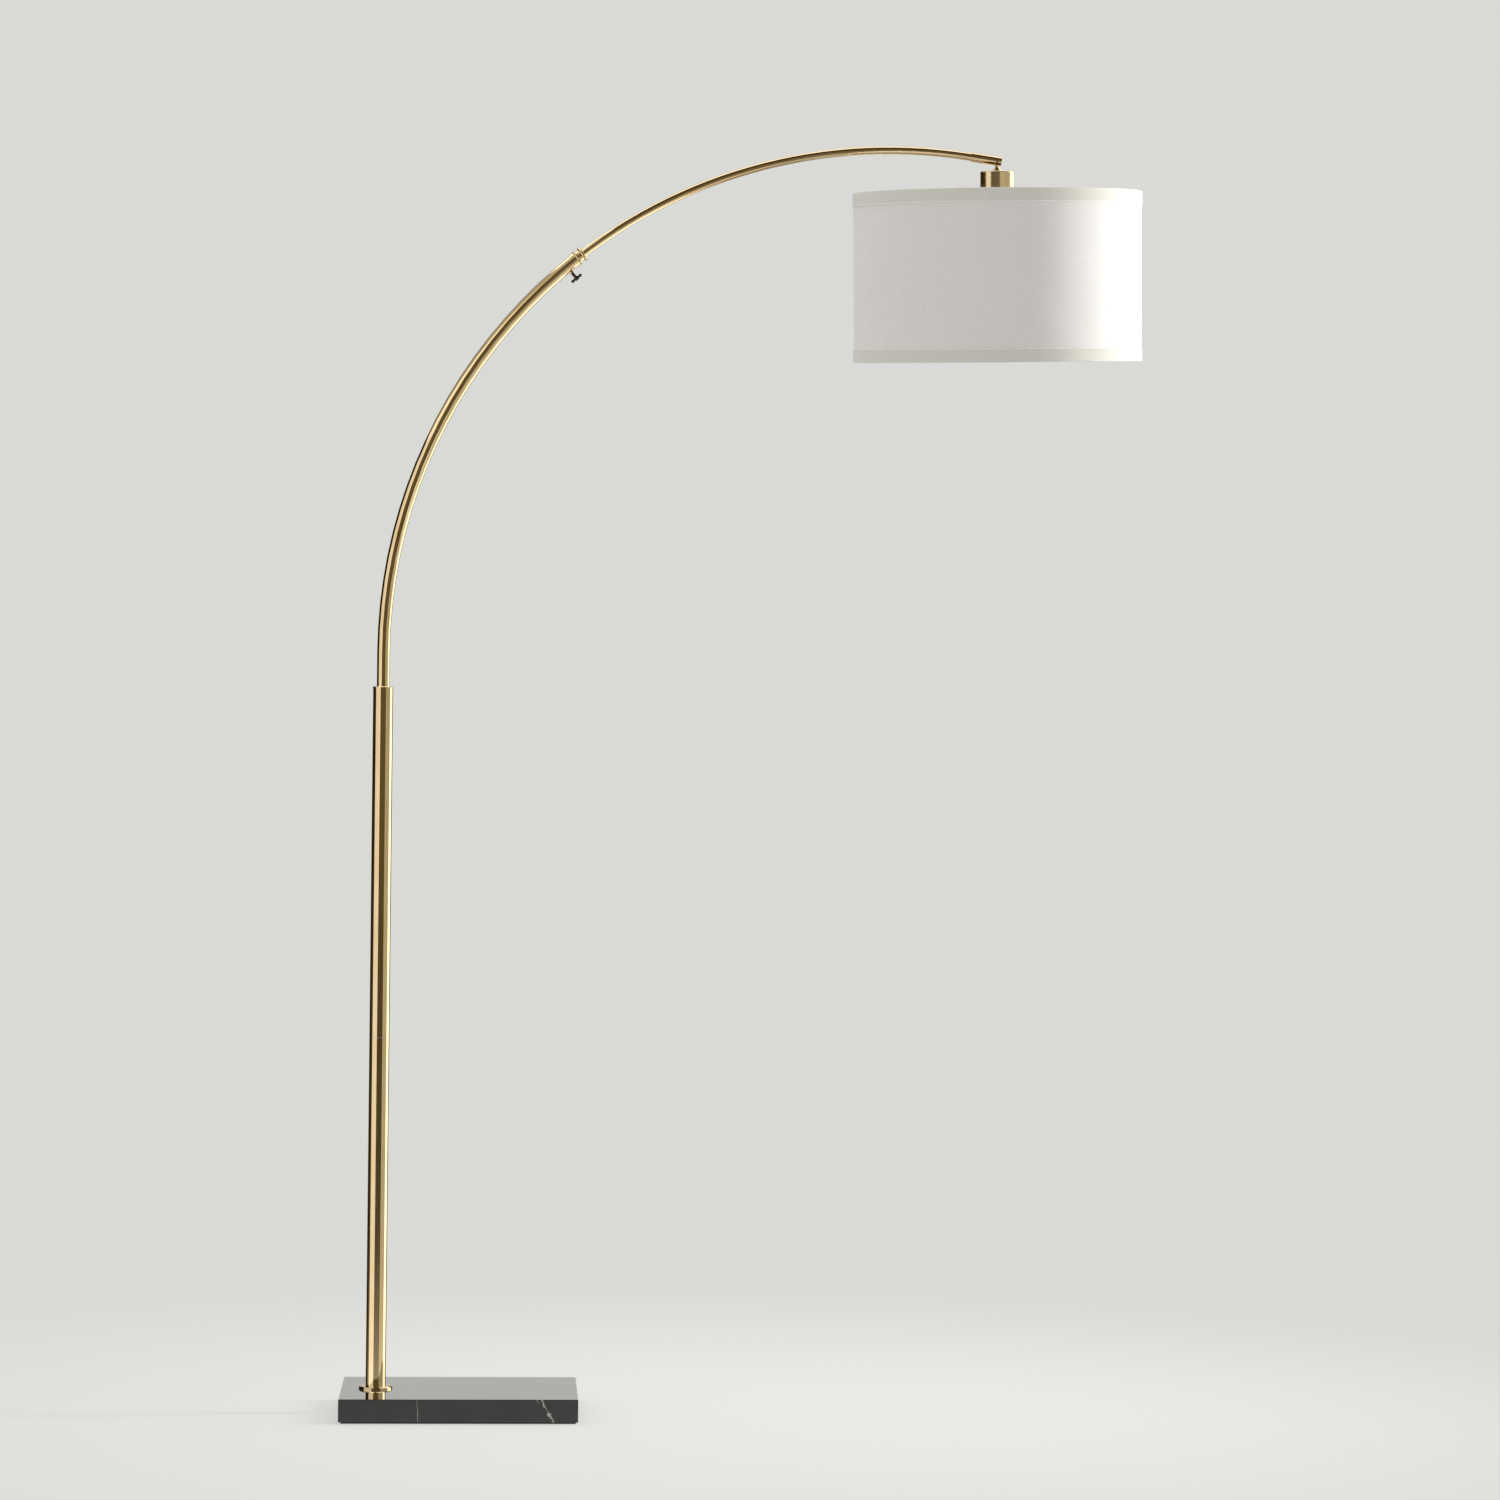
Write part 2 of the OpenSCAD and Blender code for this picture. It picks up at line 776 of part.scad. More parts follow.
module ball_stem() {
    color(brass) at_head() difference() {
        union() {
            intersection() {
                sphere(r = ball_stem_r);
                cube([4 * ball_stem_r, 2 * ball_flat, 4 * ball_stem_r], center = true);
            }
            translate([0, 0, -flare_start - eps]) cylinder(r = neck_r, h = flare_start + eps - neck_root);
            translate([0, 0, -flare_end]) cylinder(r1 = flare_r, r2 = neck_r, h = flare_end - flare_start);
            translate([0, 0, -cup_top]) cylinder(r = flare_r, h = cup_top - flare_end);
            translate([0, 0, -stem_end]) cylinder(r = stem_r, h = stem_end - cup_top);
        }
        translate([0, 0, -stem_end - eps]) cylinder(r = stem_bore_r, h = stem_end + eps);
        rod_along_x(stem_bore_r, -2 * ball_stem_r, 0);
        for (side = [0, 180]) rotate([0, 0, side])
            rod_along_y(pivot_screw_r + fit_gap, pivot_tip - slide_gap, 2 * ball_stem_r);
    }
}

// half of a section hanging from y = 0, with its outer top corner rounded
module cup_section(r, h, corner) {
    translate([0, -h]) square([r - corner, h]);
    translate([0, -h]) square([r, h - corner]);
    translate([r - corner, -corner]) circle(r = corner, $fn = round_fn);
}

module socket_cup() {
    color(brass) at_head() translate([0, 0, -cup_top]) rotate_extrude() difference() {
        cup_section(cup_r, cup_h, cup_round);
        translate([0, -cup_wall])
            cup_section(cup_r - cup_wall, cup_h - cup_wall + eps, cup_round - cup_wall);
        translate([0, -cup_h - eps]) square([stem_r + slide_gap, cup_h + 2 * eps]);
    }
}

module tooth_washer() {
    color(steel) at_head() translate([0, 0, -washer_low - tooth_washer_t]) difference() {
        ring(tooth_washer_r, stem_r + slide_gap, tooth_washer_t);
        for (i = [0 : tooth_count - 1]) rotate([0, 0, i * 360 / tooth_count])
            translate([tooth_washer_r - tooth_w, -tooth_w / 2, -eps])
                cube([2 * tooth_w, tooth_w, tooth_washer_t + 2 * eps]);
    }
}

module stem_nut() {
    color(steel) at_head() translate([0, 0, -washer_low - tooth_washer_t - stem_nut_t])
        hex_nut(stem_nut_af, stem_r + fit_gap, stem_nut_t);
}

module lamp_holder() {
    color(phenolic) at_head() difference() {
        rotate_extrude() polygon([
            [stem_r + fit_gap, -holder_top], [holder_top_r, -holder_top],
            [holder_r - shoulder, -holder_top - shoulder], [holder_r, -holder_top - shoulder_end],
            [holder_r, -flange_low + holder_flange_t],
            [holder_flange_r, -flange_low + holder_flange_t], [holder_flange_r, -flange_low],
            [holder_r, -flange_low], [holder_r, -holder_end], [holder_in_r, -holder_end],
            [holder_in_r, -holder_roof], [stem_r + fit_gap, -holder_roof]
        ]);
        translate([0, 0, -switch_depth])
            rod_along_x(spindle_r + fit_gap, holder_in_r - eps, holder_r + eps);
    }
}

module terminal_places() {
    for (side = [-1, 1]) translate([0, side * terminal_x, 0]) children();
}

module contact_block() {
    color(porcelain) at_head() difference() {
        translate([0, 0, -block_top - block_t]) cylinder(r = block_r, h = block_t);
        terminal_places() translate([0, 0, -block_top - terminal_len - plug_gap])
            cylinder(r = terminal_r + fit_gap, h = block_t);
    }
}

module terminal_screws() {
    color(bright_brass) at_head() terminal_places() difference() {
        union() {
            translate([0, 0, -block_top - terminal_len]) cylinder(r = terminal_r, h = terminal_len);
            translate([0, 0, -block_top]) cylinder(r = terminal_head_r, h = terminal_head_t);
        }
        translate([-terminal_head_r - eps, -driver_w / 2, -block_top + terminal_head_t - driver_w])
            cube([2 * (terminal_head_r + eps), driver_w, driver_w + eps]);
    }
}

module centre_contact() {
    color(bright_brass) at_head() translate([0, 0, -block_top - block_t - contact_t])
        cylinder(r = contact_r, h = contact_t);
}

module screw_shell() {
    color(bright_brass) at_head() translate([0, 0, -shell_top - shell_len])
        ring(shell_r, shell_r - shell_wall, shell_len);
}

module head_lead() {
    color(flex) at_head() translate([0, 0, -block_top + head_lead_clear])
        cylinder(r = head_lead_r, h = block_top - head_lead_clear - ball_stem_r);
}

module spider_ring() {
    color(wire_white) at_head() translate([0, 0, -flange_low - spider_ring_t])
        ring(spider_ring_r, spider_bore_r, spider_ring_t);
}

module shade_ring_nut() {
    color(phenolic) at_head() translate([0, 0, -flange_low - spider_ring_t - ring_nut_t])
        difference() {
            ring(ring_nut_r, holder_r + fit_gap, ring_nut_t);
            for (i = [0 : grip_count - 1]) rotate([0, 0, i * 360 / grip_count])
                translate([ring_nut_r - grip_notch / 2, -grip_notch / 2, -eps])
                    cube([grip_notch, grip_notch, ring_nut_t + 2 * eps]);
        }
}

// each rod runs from the spider ring up and out to the top wire ring
module spider_arms() {
    inner = spider_ring_r - arm_overlap;
    inner_depth = flange_low + spider_ring_t / 2;
    outer_depth = shade_drop + wire_inset;
    run = wire_ring_r - inner;
    rise = inner_depth - outer_depth;
    color(wire_white) at_head()
        for (i = [0 : arm_count - 1]) rotate([0, 0, arm_azimuth + i * 360 / arm_count])
            translate([inner, 0, -inner_depth]) rotate([0, atan2(run, rise), 0])
                cylinder(r = arm_rod_r, h = norm([run, rise]));
}

module top_wire_ring() {
    color(wire_white) at_head() wire_ring(shade_drop + wire_inset);
}

module bottom_wire_ring() {
    color(wire_white) at_head() wire_ring(shade_drop + shade_h - wire_inset);
}

module shade_liner() {
    color(liner_white) at_head() shade_band(
        liner_r - glue_gap, liner_t - glue_gap, shade_drop + liner_inset, shade_h - 2 * liner_inset);
}

module shade_fabric() {
    color(cloth) at_head()
        shade_band(fabric_r, fabric_t, shade_drop + fabric_inset, shade_h - 2 * fabric_inset);
}

module top_trim() {
    color(tape) at_head() shade_band(shade_r, trim_t - glue_gap, shade_drop, trim_h);
}

module bottom_trim() {
    color(tape) at_head()
        shade_band(shade_r, trim_t - glue_gap, shade_drop + shade_h - trim_h, trim_h);
}

// bulb ---------------------------------------------------------------

module bulb_base() {
    color(bulb_metal) at_head() translate([0, 0, -bulb_base_top - bulb_base_len])
        cylinder(r = bulb_base_r, h = bulb_base_len);
}

module bulb_tip() {
    color(bulb_black) at_head() translate([0, 0, -bulb_base_top])
        cylinder(r1 = insulator_r, r2 = button_r, h = bulb_tip_len);
}

module bulb_body() {
    color(bulb_white) at_head() translate([0, 0, -bulb_body_low - bulb_body_len])
        cylinder(r1 = bulb_body_r, r2 = bulb_neck_r, h = bulb_body_len);
}

// the globe sits on the body where its sphere has the body's radius
module bulb_globe() {
    color(opal) at_head() difference() {
        translate([0, 0, -globe_depth]) sphere(r = globe_r);
        translate([0, 0, -globe_depth]) sphere(r = globe_r - glass_t);
        translate([0, 0, -bulb_body_low - bulb_body_len]) cylinder(r = 2 * globe_r, h = 3 * globe_r);
    }
}

// switch -------------------------------------------------------------

module switch_spindle() {
    color(bright_brass) at_head() translate([0, 0, -switch_depth])
        rod_along_x(spindle_r, spindle_in, knob_start + knob_len / 2);
}

module switch_knob() {
    color(phenolic) at_head() translate([0, 0, -switch_depth]) difference() {
        rod_along_x(knob_r, knob_start, knob_start + knob_len);
        rod_along_x(spindle_r + glue_gap, knob_start - eps, knob_start + knob_len / 2);
        for (i = [0 : knob_flutes - 1]) rotate([i * 360 / knob_flutes, 0, 0])
            translate([0, 0, knob_r + flute_r - flute_depth])
                rod_along_x(flute_r, knob_start - eps, knob_start + knob_len + eps);
    }
}

// nodes --------------------------------------------------------------

base_felt();
base_slab();
load_plate();
lock_washer();
base_nut();
base_pipe();
foot_plug();
base_ring();
cord_grommet();
lower_pole();
pole_coupler();
upper_pole();
pole_top_cap();
arc_root_bush();
root_set_screw();
lower_arc();
collar_bush();
clamp_collar();
screw_boss();
pole_lead();
slack_lead();
pressure_pad();
thumb_screw();
t_bar();
bar_end_balls();
slider_plug();
slider_rivets();
upper_arc();
swivel_spigot();
arm_lead();
swivel_housing();
housing_end_plug();
swivel_set_screw();
pivot_screws();
ball_stem();
socket_cup();
tooth_washer();
stem_nut();
lamp_holder();
contact_block();
terminal_screws();
centre_contact();
screw_shell();
head_lead();
spider_ring();
shade_ring_nut();
spider_arms();
top_wire_ring();
bottom_wire_ring();
shade_liner();
shade_fabric();
top_trim();
bottom_trim();
bulb_base();
bulb_tip();
bulb_body();
bulb_globe();
switch_spindle();
switch_knob();
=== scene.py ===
import json
import math

import bmesh
import bpy
from mathutils import Matrix, Vector


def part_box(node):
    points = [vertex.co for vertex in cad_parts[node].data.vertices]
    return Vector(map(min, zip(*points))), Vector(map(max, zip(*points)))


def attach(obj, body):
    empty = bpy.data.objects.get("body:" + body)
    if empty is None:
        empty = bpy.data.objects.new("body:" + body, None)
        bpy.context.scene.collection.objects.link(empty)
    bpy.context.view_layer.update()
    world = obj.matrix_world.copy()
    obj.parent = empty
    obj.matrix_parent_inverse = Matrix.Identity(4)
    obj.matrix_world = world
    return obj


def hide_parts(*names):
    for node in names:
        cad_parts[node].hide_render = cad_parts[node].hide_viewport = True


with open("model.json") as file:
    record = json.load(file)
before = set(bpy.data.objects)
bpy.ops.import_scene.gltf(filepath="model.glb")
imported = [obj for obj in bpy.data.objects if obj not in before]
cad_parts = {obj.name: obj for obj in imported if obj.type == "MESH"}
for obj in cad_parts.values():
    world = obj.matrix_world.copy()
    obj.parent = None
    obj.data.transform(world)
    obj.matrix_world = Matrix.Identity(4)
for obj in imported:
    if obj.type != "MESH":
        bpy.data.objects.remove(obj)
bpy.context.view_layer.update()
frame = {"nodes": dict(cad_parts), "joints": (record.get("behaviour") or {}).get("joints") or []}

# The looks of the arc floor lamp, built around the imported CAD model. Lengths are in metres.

UP = Vector((0, 0, 1))


# places -----------------------------------------------------------------

JOINTS = {j["name"]: j for j in frame["joints"]}


def joint_axis(name):
    return Vector(JOINTS[name]["axis"]).normalized()


def joint_place(name):
    return Vector(JOINTS[name]["pos_m"])


def head_up():
    """The shade's axis: the tilt axis and the switch's spindle both stand square to it."""
    return joint_axis("switch_turn").cross(joint_axis("head_tilt"))


def frame_from(origin, z_axis, y_axis):
    """The matrix of a right-handed frame at origin, with its Z and Y axes given."""
    turn = Matrix((y_axis.cross(z_axis), y_axis, z_axis)).transposed()
    return Matrix.LocRotScale(origin, turn.to_quaternion(), None)


def span_in(node, place):
    """The lowest and highest corner of a CAD node, and its largest radius round Z, in the frame of place."""
    to_local = place.inverted()
    points = [to_local @ v.co for v in frame["nodes"][node].data.vertices]
    low = Vector(min(p[i] for p in points) for i in range(3))
    high = Vector(max(p[i] for p in points) for i in range(3))
    return low, high, max(p.xy.length for p in points)


# local Z is the shade's axis, and the origin is the tilt pivot
HEAD = frame_from(joint_place("head_tilt"), head_up(), joint_axis("head_tilt"))
# local Z runs along the swivel housing
SWIVEL = frame_from(joint_place("swivel_turn"), joint_axis("swivel_turn"), joint_axis("head_tilt"))
ARC_CENTRE = joint_place("arm_extend")
ARC_RADIUS = ARC_CENTRE.x
POLE = Matrix.Identity(4)


# meshes -----------------------------------------------------------------

def piece(name, mesh, body, material, place=Matrix.Identity(4)):
    """A new object of the lamp, riding on a body."""
    obj = bpy.data.objects.new(name, mesh)
    bpy.context.scene.collection.objects.link(obj)
    obj.matrix_world = place
    mesh.materials.append(material)
    mesh.shade_smooth()
    mesh.set_sharp_from_angle(angle=math.radians(40))
    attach(obj, body)
    return obj


def lathe(name, outline, segments, reach=None):
    """A mesh turned round Z from an outline of (radius, height) points. The outline is closed into a
    loop, unless it starts and ends on the axis. reach(angle, radius, height) may return a changed point."""
    bm = bmesh.new()
    open_ends = outline[0][0] < 1e-9 and outline[-1][0] < 1e-9
    rings = []
    for radius, height in outline:
        if radius < 1e-9:
            rings.append([bm.verts.new((0, 0, height))] * segments)
            continue
        ring = []
        for i in range(segments):
            angle = 2 * math.pi * i / segments
            r, z = reach(angle, radius, height) if reach else (radius, height)
            ring.append(bm.verts.new((r * math.cos(angle), r * math.sin(angle), z)))
        rings.append(ring)
    pairs = list(zip(rings, rings[1:]))
    if not open_ends:
        pairs.append((rings[-1], rings[0]))
    for a, b in pairs:
        for i in range(segments):
            j = (i + 1) % segments
            corners = [a[i], a[j], b[j], b[i]]
            corners = [v for k, v in enumerate(corners) if v not in corners[:k]]
            if len(corners) > 2:
                bm.faces.new(corners)
    bmesh.ops.recalc_face_normals(bm, faces=bm.faces)
    mesh = bpy.data.meshes.new(name)
    bm.to_mesh(mesh)
    bm.free()
    return mesh


def arc_points(centre, radius, start, end, steps):
    """Points on an arc, with angles in degrees."""
    angles = [math.radians(start + (end - start) * i / steps) for i in range(steps + 1)]
    return [(centre[0] + radius * math.cos(a), centre[1] + radius * math.sin(a)) for a in angles]


def thickened(path, thickness):
    """A closed outline that follows a path of (radius, height) points on both sides, with round ends."""
    half = thickness / 2
    normals = []
    for i in range(len(path)):
        a, b = path[max(i - 1, 0)], path[min(i + 1, len(path) - 1)]
        along = Vector((b[0] - a[0], b[1] - a[1])).normalized()
        normals.append(Vector((along.y, -along.x)))
    right = [(p[0] + n.x * half, p[1] + n.y * half) for p, n in zip(path, normals)]
    left = [(p[0] - n.x * half, p[1] - n.y * half) for p, n in zip(path, normals)]

    def tip(point, normal):
        turn = math.degrees(math.atan2(normal.y, normal.x))
        return arc_points(point, half, turn, turn + 180, 6)[1:-1]

    return right + tip(path[-1], normals[-1]) + left[::-1] + tip(path[0], -normals[0])


# nodes ------------------------------------------------------------------

class Nodes:
    """Short calls that add linked nodes to a material or a world."""

    def __init__(self, owner):
        owner.use_nodes = True
        self.tree = owner.node_tree

    def find(self, kind):
        return next(n for n in self.tree.nodes if n.bl_idname == kind)

    def put(self, socket, value):
        if isinstance(value, bpy.types.NodeSocket):
            self.tree.links.new(value, socket)
        else:
            socket.default_value = value

    def add(self, kind, inputs=(), **settings):
        node = self.tree.nodes.new(kind)
        for key, value in settings.items():
            setattr(node, key, value)
        for key, value in dict(inputs).items():
            self.put(node.inputs[key], value)
        return node

    def math(self, operation, a, b=0.0, c=0.0):
        return self.add("ShaderNodeMath", {0: a, 1: b, 2: c}, operation=operation).outputs[0]

    def vector(self, operation, a, b=(0, 0, 0)):
        node = self.add("ShaderNodeVectorMath", {0: a, 1: b}, operation=operation)
        return node.outputs["Value" if operation in ("DOT_PRODUCT", "LENGTH") else "Vector"]

    def scaled(self, vector, by):
        return self.vector("MULTIPLY", vector, by)

    def split(self, vector):
        return self.add("ShaderNodeSeparateXYZ", {0: vector}).outputs

    def join(self, x, y, z):
        return self.add("ShaderNodeCombineXYZ", {0: x, 1: y, 2: z}).outputs[0]

    def noise(self, vector, scale, detail=2.0, roughness=0.5, distortion=0.0):
        return self.add("ShaderNodeTexNoise", {
            "Vector": vector, "Scale": scale, "Detail": detail,
            "Roughness": roughness, "Distortion": distortion,
        }).outputs["Fac"]

    def ramp(self, value, low, high, to_low=0.0, to_high=1.0):
        """value from low to high, smoothly changed to run from to_low to to_high."""
        return self.add("ShaderNodeMapRange", {
            "Value": value, "From Min": low, "From Max": high,
            "To Min": to_low, "To Max": to_high,
        }, interpolation_type="SMOOTHSTEP").outputs["Result"]

    def mix(self, share, a, b):
        node = self.add("ShaderNodeMix", data_type="RGBA")
        for index, value in ((0, share), (6, a), (7, b)):
            self.put(node.inputs[index], value)
        return node.outputs[2]

    def bump(self, height, distance, strength):
        inputs = {"Height": height, "Distance": distance, "Strength": strength}
        return self.add("ShaderNodeBump", inputs).outputs["Normal"]

    def place(self):
        """The point on the piece, in the piece's own frame."""
        return self.add("ShaderNodeTexCoord").outputs["Object"]

    def in_frame(self, vector, matrix):
        """A point of the lamp's frame, in the frame of matrix."""
        offset = self.vector("SUBTRACT", vector, tuple(matrix.translation))
        axes = [tuple(matrix.to_3x3().col[i].normalized()) for i in range(3)]
        return self.join(*(self.vector("DOT_PRODUCT", offset, axis) for axis in axes))

    def round_axis(self, vector, radius):
        """(length round the Z axis at a radius, height, distance from the axis)."""
        x, y, z = self.split(vector)
        angle = self.math("ARCTAN2", y, x)
        distance = self.vector("LENGTH", self.join(x, y, 0.0))
        return self.join(self.math("MULTIPLY", angle, radius), z, distance)

    def along_arc(self, vector):
        """A point of the lamp's frame as (distance from the arc's centre, depth, length along the arc)."""
        x, y, z = self.split(self.vector("SUBTRACT", vector, tuple(ARC_CENTRE)))
        angle = self.math("ARCTAN2", z, self.math("MULTIPLY", x, -1.0))
        distance = self.vector("LENGTH", self.join(x, z, 0.0))
        return self.join(distance, y, self.math("MULTIPLY", angle, ARC_RADIUS))


class Finish(Nodes):
    """A Principled material with its constant values set on the shader's own sockets."""

    def __init__(self, name, **constants):
        self.material = bpy.data.materials.new(name)
        super().__init__(self.material)
        self.shader = self.find("ShaderNodeBsdfPrincipled")
        for key, value in constants.items():
            self.shader.inputs[key.replace("_", " ")].default_value = value

    def link(self, **sockets):
        for key, value in sockets.items():
            self.put(self.shader.inputs[key.replace("_", " ")], value)
        return self.material


# finishes ---------------------------------------------------------------

BRASS = (0.80, 0.625, 0.375, 1)
BRASS_DEEP = (0.76, 0.575, 0.325, 1)
BRASS_DARK = (0.46, 0.32, 0.15, 1)


def brass(name, grain="pole", matrix=None, rough=0.07):
    """Lacquered brass. Its fine lines run along the pole or the arc, or round the axis of matrix."""
    n = Finish(name, Metallic=1.0, Coat_Weight=0.15, Coat_Roughness=0.05, Coat_IOR=1.5)
    here = n.place()
    if grain == "pole":
        lines = n.scaled(here, (1100, 1100, 7))
    elif grain == "arc":
        lines = n.scaled(n.along_arc(here), (1100, 1100, 7))
    else:
        local = n.in_frame(here, matrix)
        lines = n.scaled(n.round_axis(local, 0.03), (12, 2200, 2200))
    scratch = n.noise(lines, 1.0, 2.0, 0.6)
    cloud = n.noise(here, 21.0, 3.0, 0.55)
    smudge = n.ramp(n.noise(here, 55.0, 4.0, 0.6, 0.4), 0.52, 0.72)
    speck = n.ramp(n.noise(here, 900.0, 1.0, 0.4), 0.74, 0.80)
    colour = n.mix(n.ramp(cloud, 0.35, 0.7), BRASS, BRASS_DEEP)
    colour = n.mix(n.math("MULTIPLY", speck, 0.35), colour, BRASS_DARK)
    lifted = n.ramp(scratch, 0.3, 0.75, rough - 0.02, rough + 0.03)
    roughness = n.math("ADD", lifted, n.math("MULTIPLY", smudge, 0.04))
    return n.link(
        Base_Color=colour, Roughness=roughness, Normal=n.bump(scratch, 0.000002, 0.1)
    )


def turned_brass(name, matrix):
    """Bright machined brass, with fine tool lines round an axis."""
    n = Finish(name, Metallic=1.0, Coat_Weight=0.15, Coat_Roughness=0.05)
    here = n.place()
    local = n.round_axis(n.in_frame(here, matrix), 0.01)
    lines = n.noise(n.scaled(local, (30, 5200, 5200)), 1.0, 1.0, 0.5)
    cloud = n.noise(here, 60.0, 2.0)
    colour = n.mix(n.ramp(cloud, 0.3, 0.7), (0.84, 0.67, 0.40, 1), (0.78, 0.59, 0.32, 1))
    return n.link(
        Base_Color=colour, Roughness=n.ramp(lines, 0.3, 0.7, 0.11, 0.19),
        Normal=n.bump(lines, 0.00001, 0.35),
    )


def dark_bronze(name):
    """Dark plating, rubbed lighter in places."""
    n = Finish(name, Metallic=1.0, Coat_Weight=0.2, Coat_Roughness=0.15)
    here = n.place()
    rub = n.ramp(n.noise(here, 420.0, 3.0, 0.6), 0.55, 0.75)
    colour = n.mix(rub, (0.075, 0.062, 0.05, 1), (0.20, 0.155, 0.105, 1))
    grain = n.noise(here, 2600.0, 2.0)
    return n.link(
        Base_Color=colour, Roughness=n.ramp(grain, 0.3, 0.7, 0.26, 0.36),
        Normal=n.bump(grain, 0.00002, 0.3),
    )


def zinc_steel(name):
    """Zinc-plated steel, with faint iridescence and handling marks."""
    n = Finish(name, Metallic=1.0)
    here = n.place()
    cloud = n.noise(here, 140.0, 3.0, 0.6, 0.6)
    mark = n.noise(n.scaled(here, (900, 200, 900)), 1.0, 2.0)
    colour = n.mix(n.ramp(cloud, 0.35, 0.65), (0.60, 0.61, 0.64, 1), (0.52, 0.50, 0.44, 1))
    return n.link(
        Base_Color=colour, Roughness=n.ramp(mark, 0.3, 0.7, 0.28, 0.42),
        Normal=n.bump(mark, 0.00003, 0.4),
    )


# each vein is a thin wavy sheet through the stone: a point on it, its normal, how far it reaches
# from the point, its half width and its strength
VEINS = (
    ((0.0690, -0.1245, 0.02), (1.0, 0.078, 0.0), 0.22, 0.00022, 0.55),
    ((0.2625, -0.1245, 0.036), (1.0, -0.9, 0.57), 0.05, 0.00042, 1.0),
    ((0.2520, -0.1245, 0.040), (1.0, -0.5, 0.50), 0.012, 0.00035, 0.45),
    ((0.1200, 0.1245, 0.03), (0.57, -0.82, 0.20), 0.16, 0.00050, 0.8),
    ((0.3180, 0.0700, 0.02), (0.40, 0.85, 0.75), 0.09, 0.00055, 0.8),
)


def black_marble(name):
    """Polished black stone with a few thin white veins, faint grey clouds and pits."""
    n = Finish(name, Specular_IOR_Level=0.5, IOR=1.6, Coat_Weight=1.0, Coat_Roughness=0.02)
    here = n.place()
    wander = n.math("SUBTRACT", n.noise(here, 60.0, 2.0, 0.5), 0.5)
    fray = n.math("SUBTRACT", n.noise(here, 190.0, 3.0, 0.6), 0.5)
    total = 0.0
    for point, normal, reach, half, strength in VEINS:
        axis = Vector(normal).normalized()
        offset = n.vector("SUBTRACT", here, point)
        along = n.vector("DOT_PRODUCT", offset, tuple(axis))
        slow, fast = n.math("MULTIPLY", wander, 20 * half), n.math("MULTIPLY", fray, 16 * half)
        bend = n.math("ADD", slow, fast)
        off = n.math("ABSOLUTE", n.math("ADD", along, bend))
        core = n.ramp(off, half, 2.0 * half, 1.0, 0.0)
        halo = n.ramp(off, half, 7 * half, 0.10, 0.0)
        faded = n.ramp(n.vector("LENGTH", offset), 0.6 * reach, reach, strength, 0.0)
        total = n.math("MAXIMUM", total, n.math("MULTIPLY", n.math("MAXIMUM", core, halo), faded))
    broken = n.ramp(n.noise(here, 70.0, 3.0, 0.6), 0.30, 0.52, 0.15, 1.0)
    vein = n.math("MULTIPLY", total, broken)
    cloud = n.ramp(n.noise(here, 9.0, 5.0, 0.6, 0.5), 0.45, 0.75)
    ground = n.mix(cloud, (0.014, 0.0145, 0.0145, 1), (0.024, 0.0245, 0.024, 1))
    crystal = n.ramp(n.noise(here, 700.0, 2.0, 0.5), 0.58, 0.8)
    ground = n.mix(n.math("MULTIPLY", crystal, 0.15), ground, (0.06, 0.06, 0.062, 1))
    colour = n.mix(vein, ground, (0.62, 0.60, 0.56, 1))
    pits = n.ramp(n.noise(here, 420.0, 2.0, 0.5), 0.72, 0.80)
    polish = n.ramp(n.noise(here, 30.0, 3.0), 0.3, 0.7, 0.05, 0.10)
    roughness = n.math("ADD", polish, n.math("MULTIPLY", pits, 0.2))
    return n.link(
        Base_Color=colour, Roughness=roughness, Normal=n.bump(pits, 0.00003, -0.3)
    )


def felt(name):
    """Pressed black felt, with matted fibres."""
    n = Finish(name, Sheen_Weight=0.6, Sheen_Roughness=0.5, Specular_IOR_Level=0.2)
    here = n.place()
    fibre = n.noise(n.scaled(here, (1.0, 0.55, 1.3)), 1500.0, 4.0, 0.75, 1.5)
    tuft = n.noise(here, 240.0, 3.0, 0.6)
    colour = n.mix(fibre, (0.010, 0.010, 0.011, 1), (0.050, 0.049, 0.048, 1))
    height = n.math("ADD", fibre, n.math("MULTIPLY", tuft, 1.5))
    return n.link(
        Base_Color=colour, Roughness=n.ramp(tuft, 0.3, 0.7, 0.85, 0.98),
        Normal=n.bump(height, 0.0003, 0.9),
    )


def moulded(name, low, high, rough, **constants):
    """Moulded plastic or rubber: two close tones, a fine grain and faint flow marks."""
    n = Finish(name, **constants)
    here = n.place()
    flow = n.noise(here, 70.0, 3.0, 0.6, 1.2)
    fine = n.noise(here, 900.0, 2.0, 0.5)
    colour = n.mix(n.ramp(flow, 0.3, 0.7), (*low, 1), (*high, 1))
    return n.link(
        Base_Color=colour, Roughness=n.ramp(fine, 0.3, 0.7, rough, rough + 0.10),
        Normal=n.bump(fine, 0.00004, 0.4),
    )


def powder_coat(name):
    """White powder coat on wire, with its orange-peel surface."""
    n = Finish(name, Coat_Weight=0.1, Coat_Roughness=0.3)
    here = n.place()
    peel = n.noise(here, 650.0, 2.0, 0.45)
    tone = n.noise(here, 30.0, 2.0)
    colour = n.mix(n.ramp(tone, 0.3, 0.7), (0.80, 0.79, 0.76, 1), (0.74, 0.73, 0.69, 1))
    return n.link(
        Base_Color=colour, Roughness=n.ramp(peel, 0.3, 0.7, 0.34, 0.46),
        Normal=n.bump(peel, 0.00008, 0.5),
    )


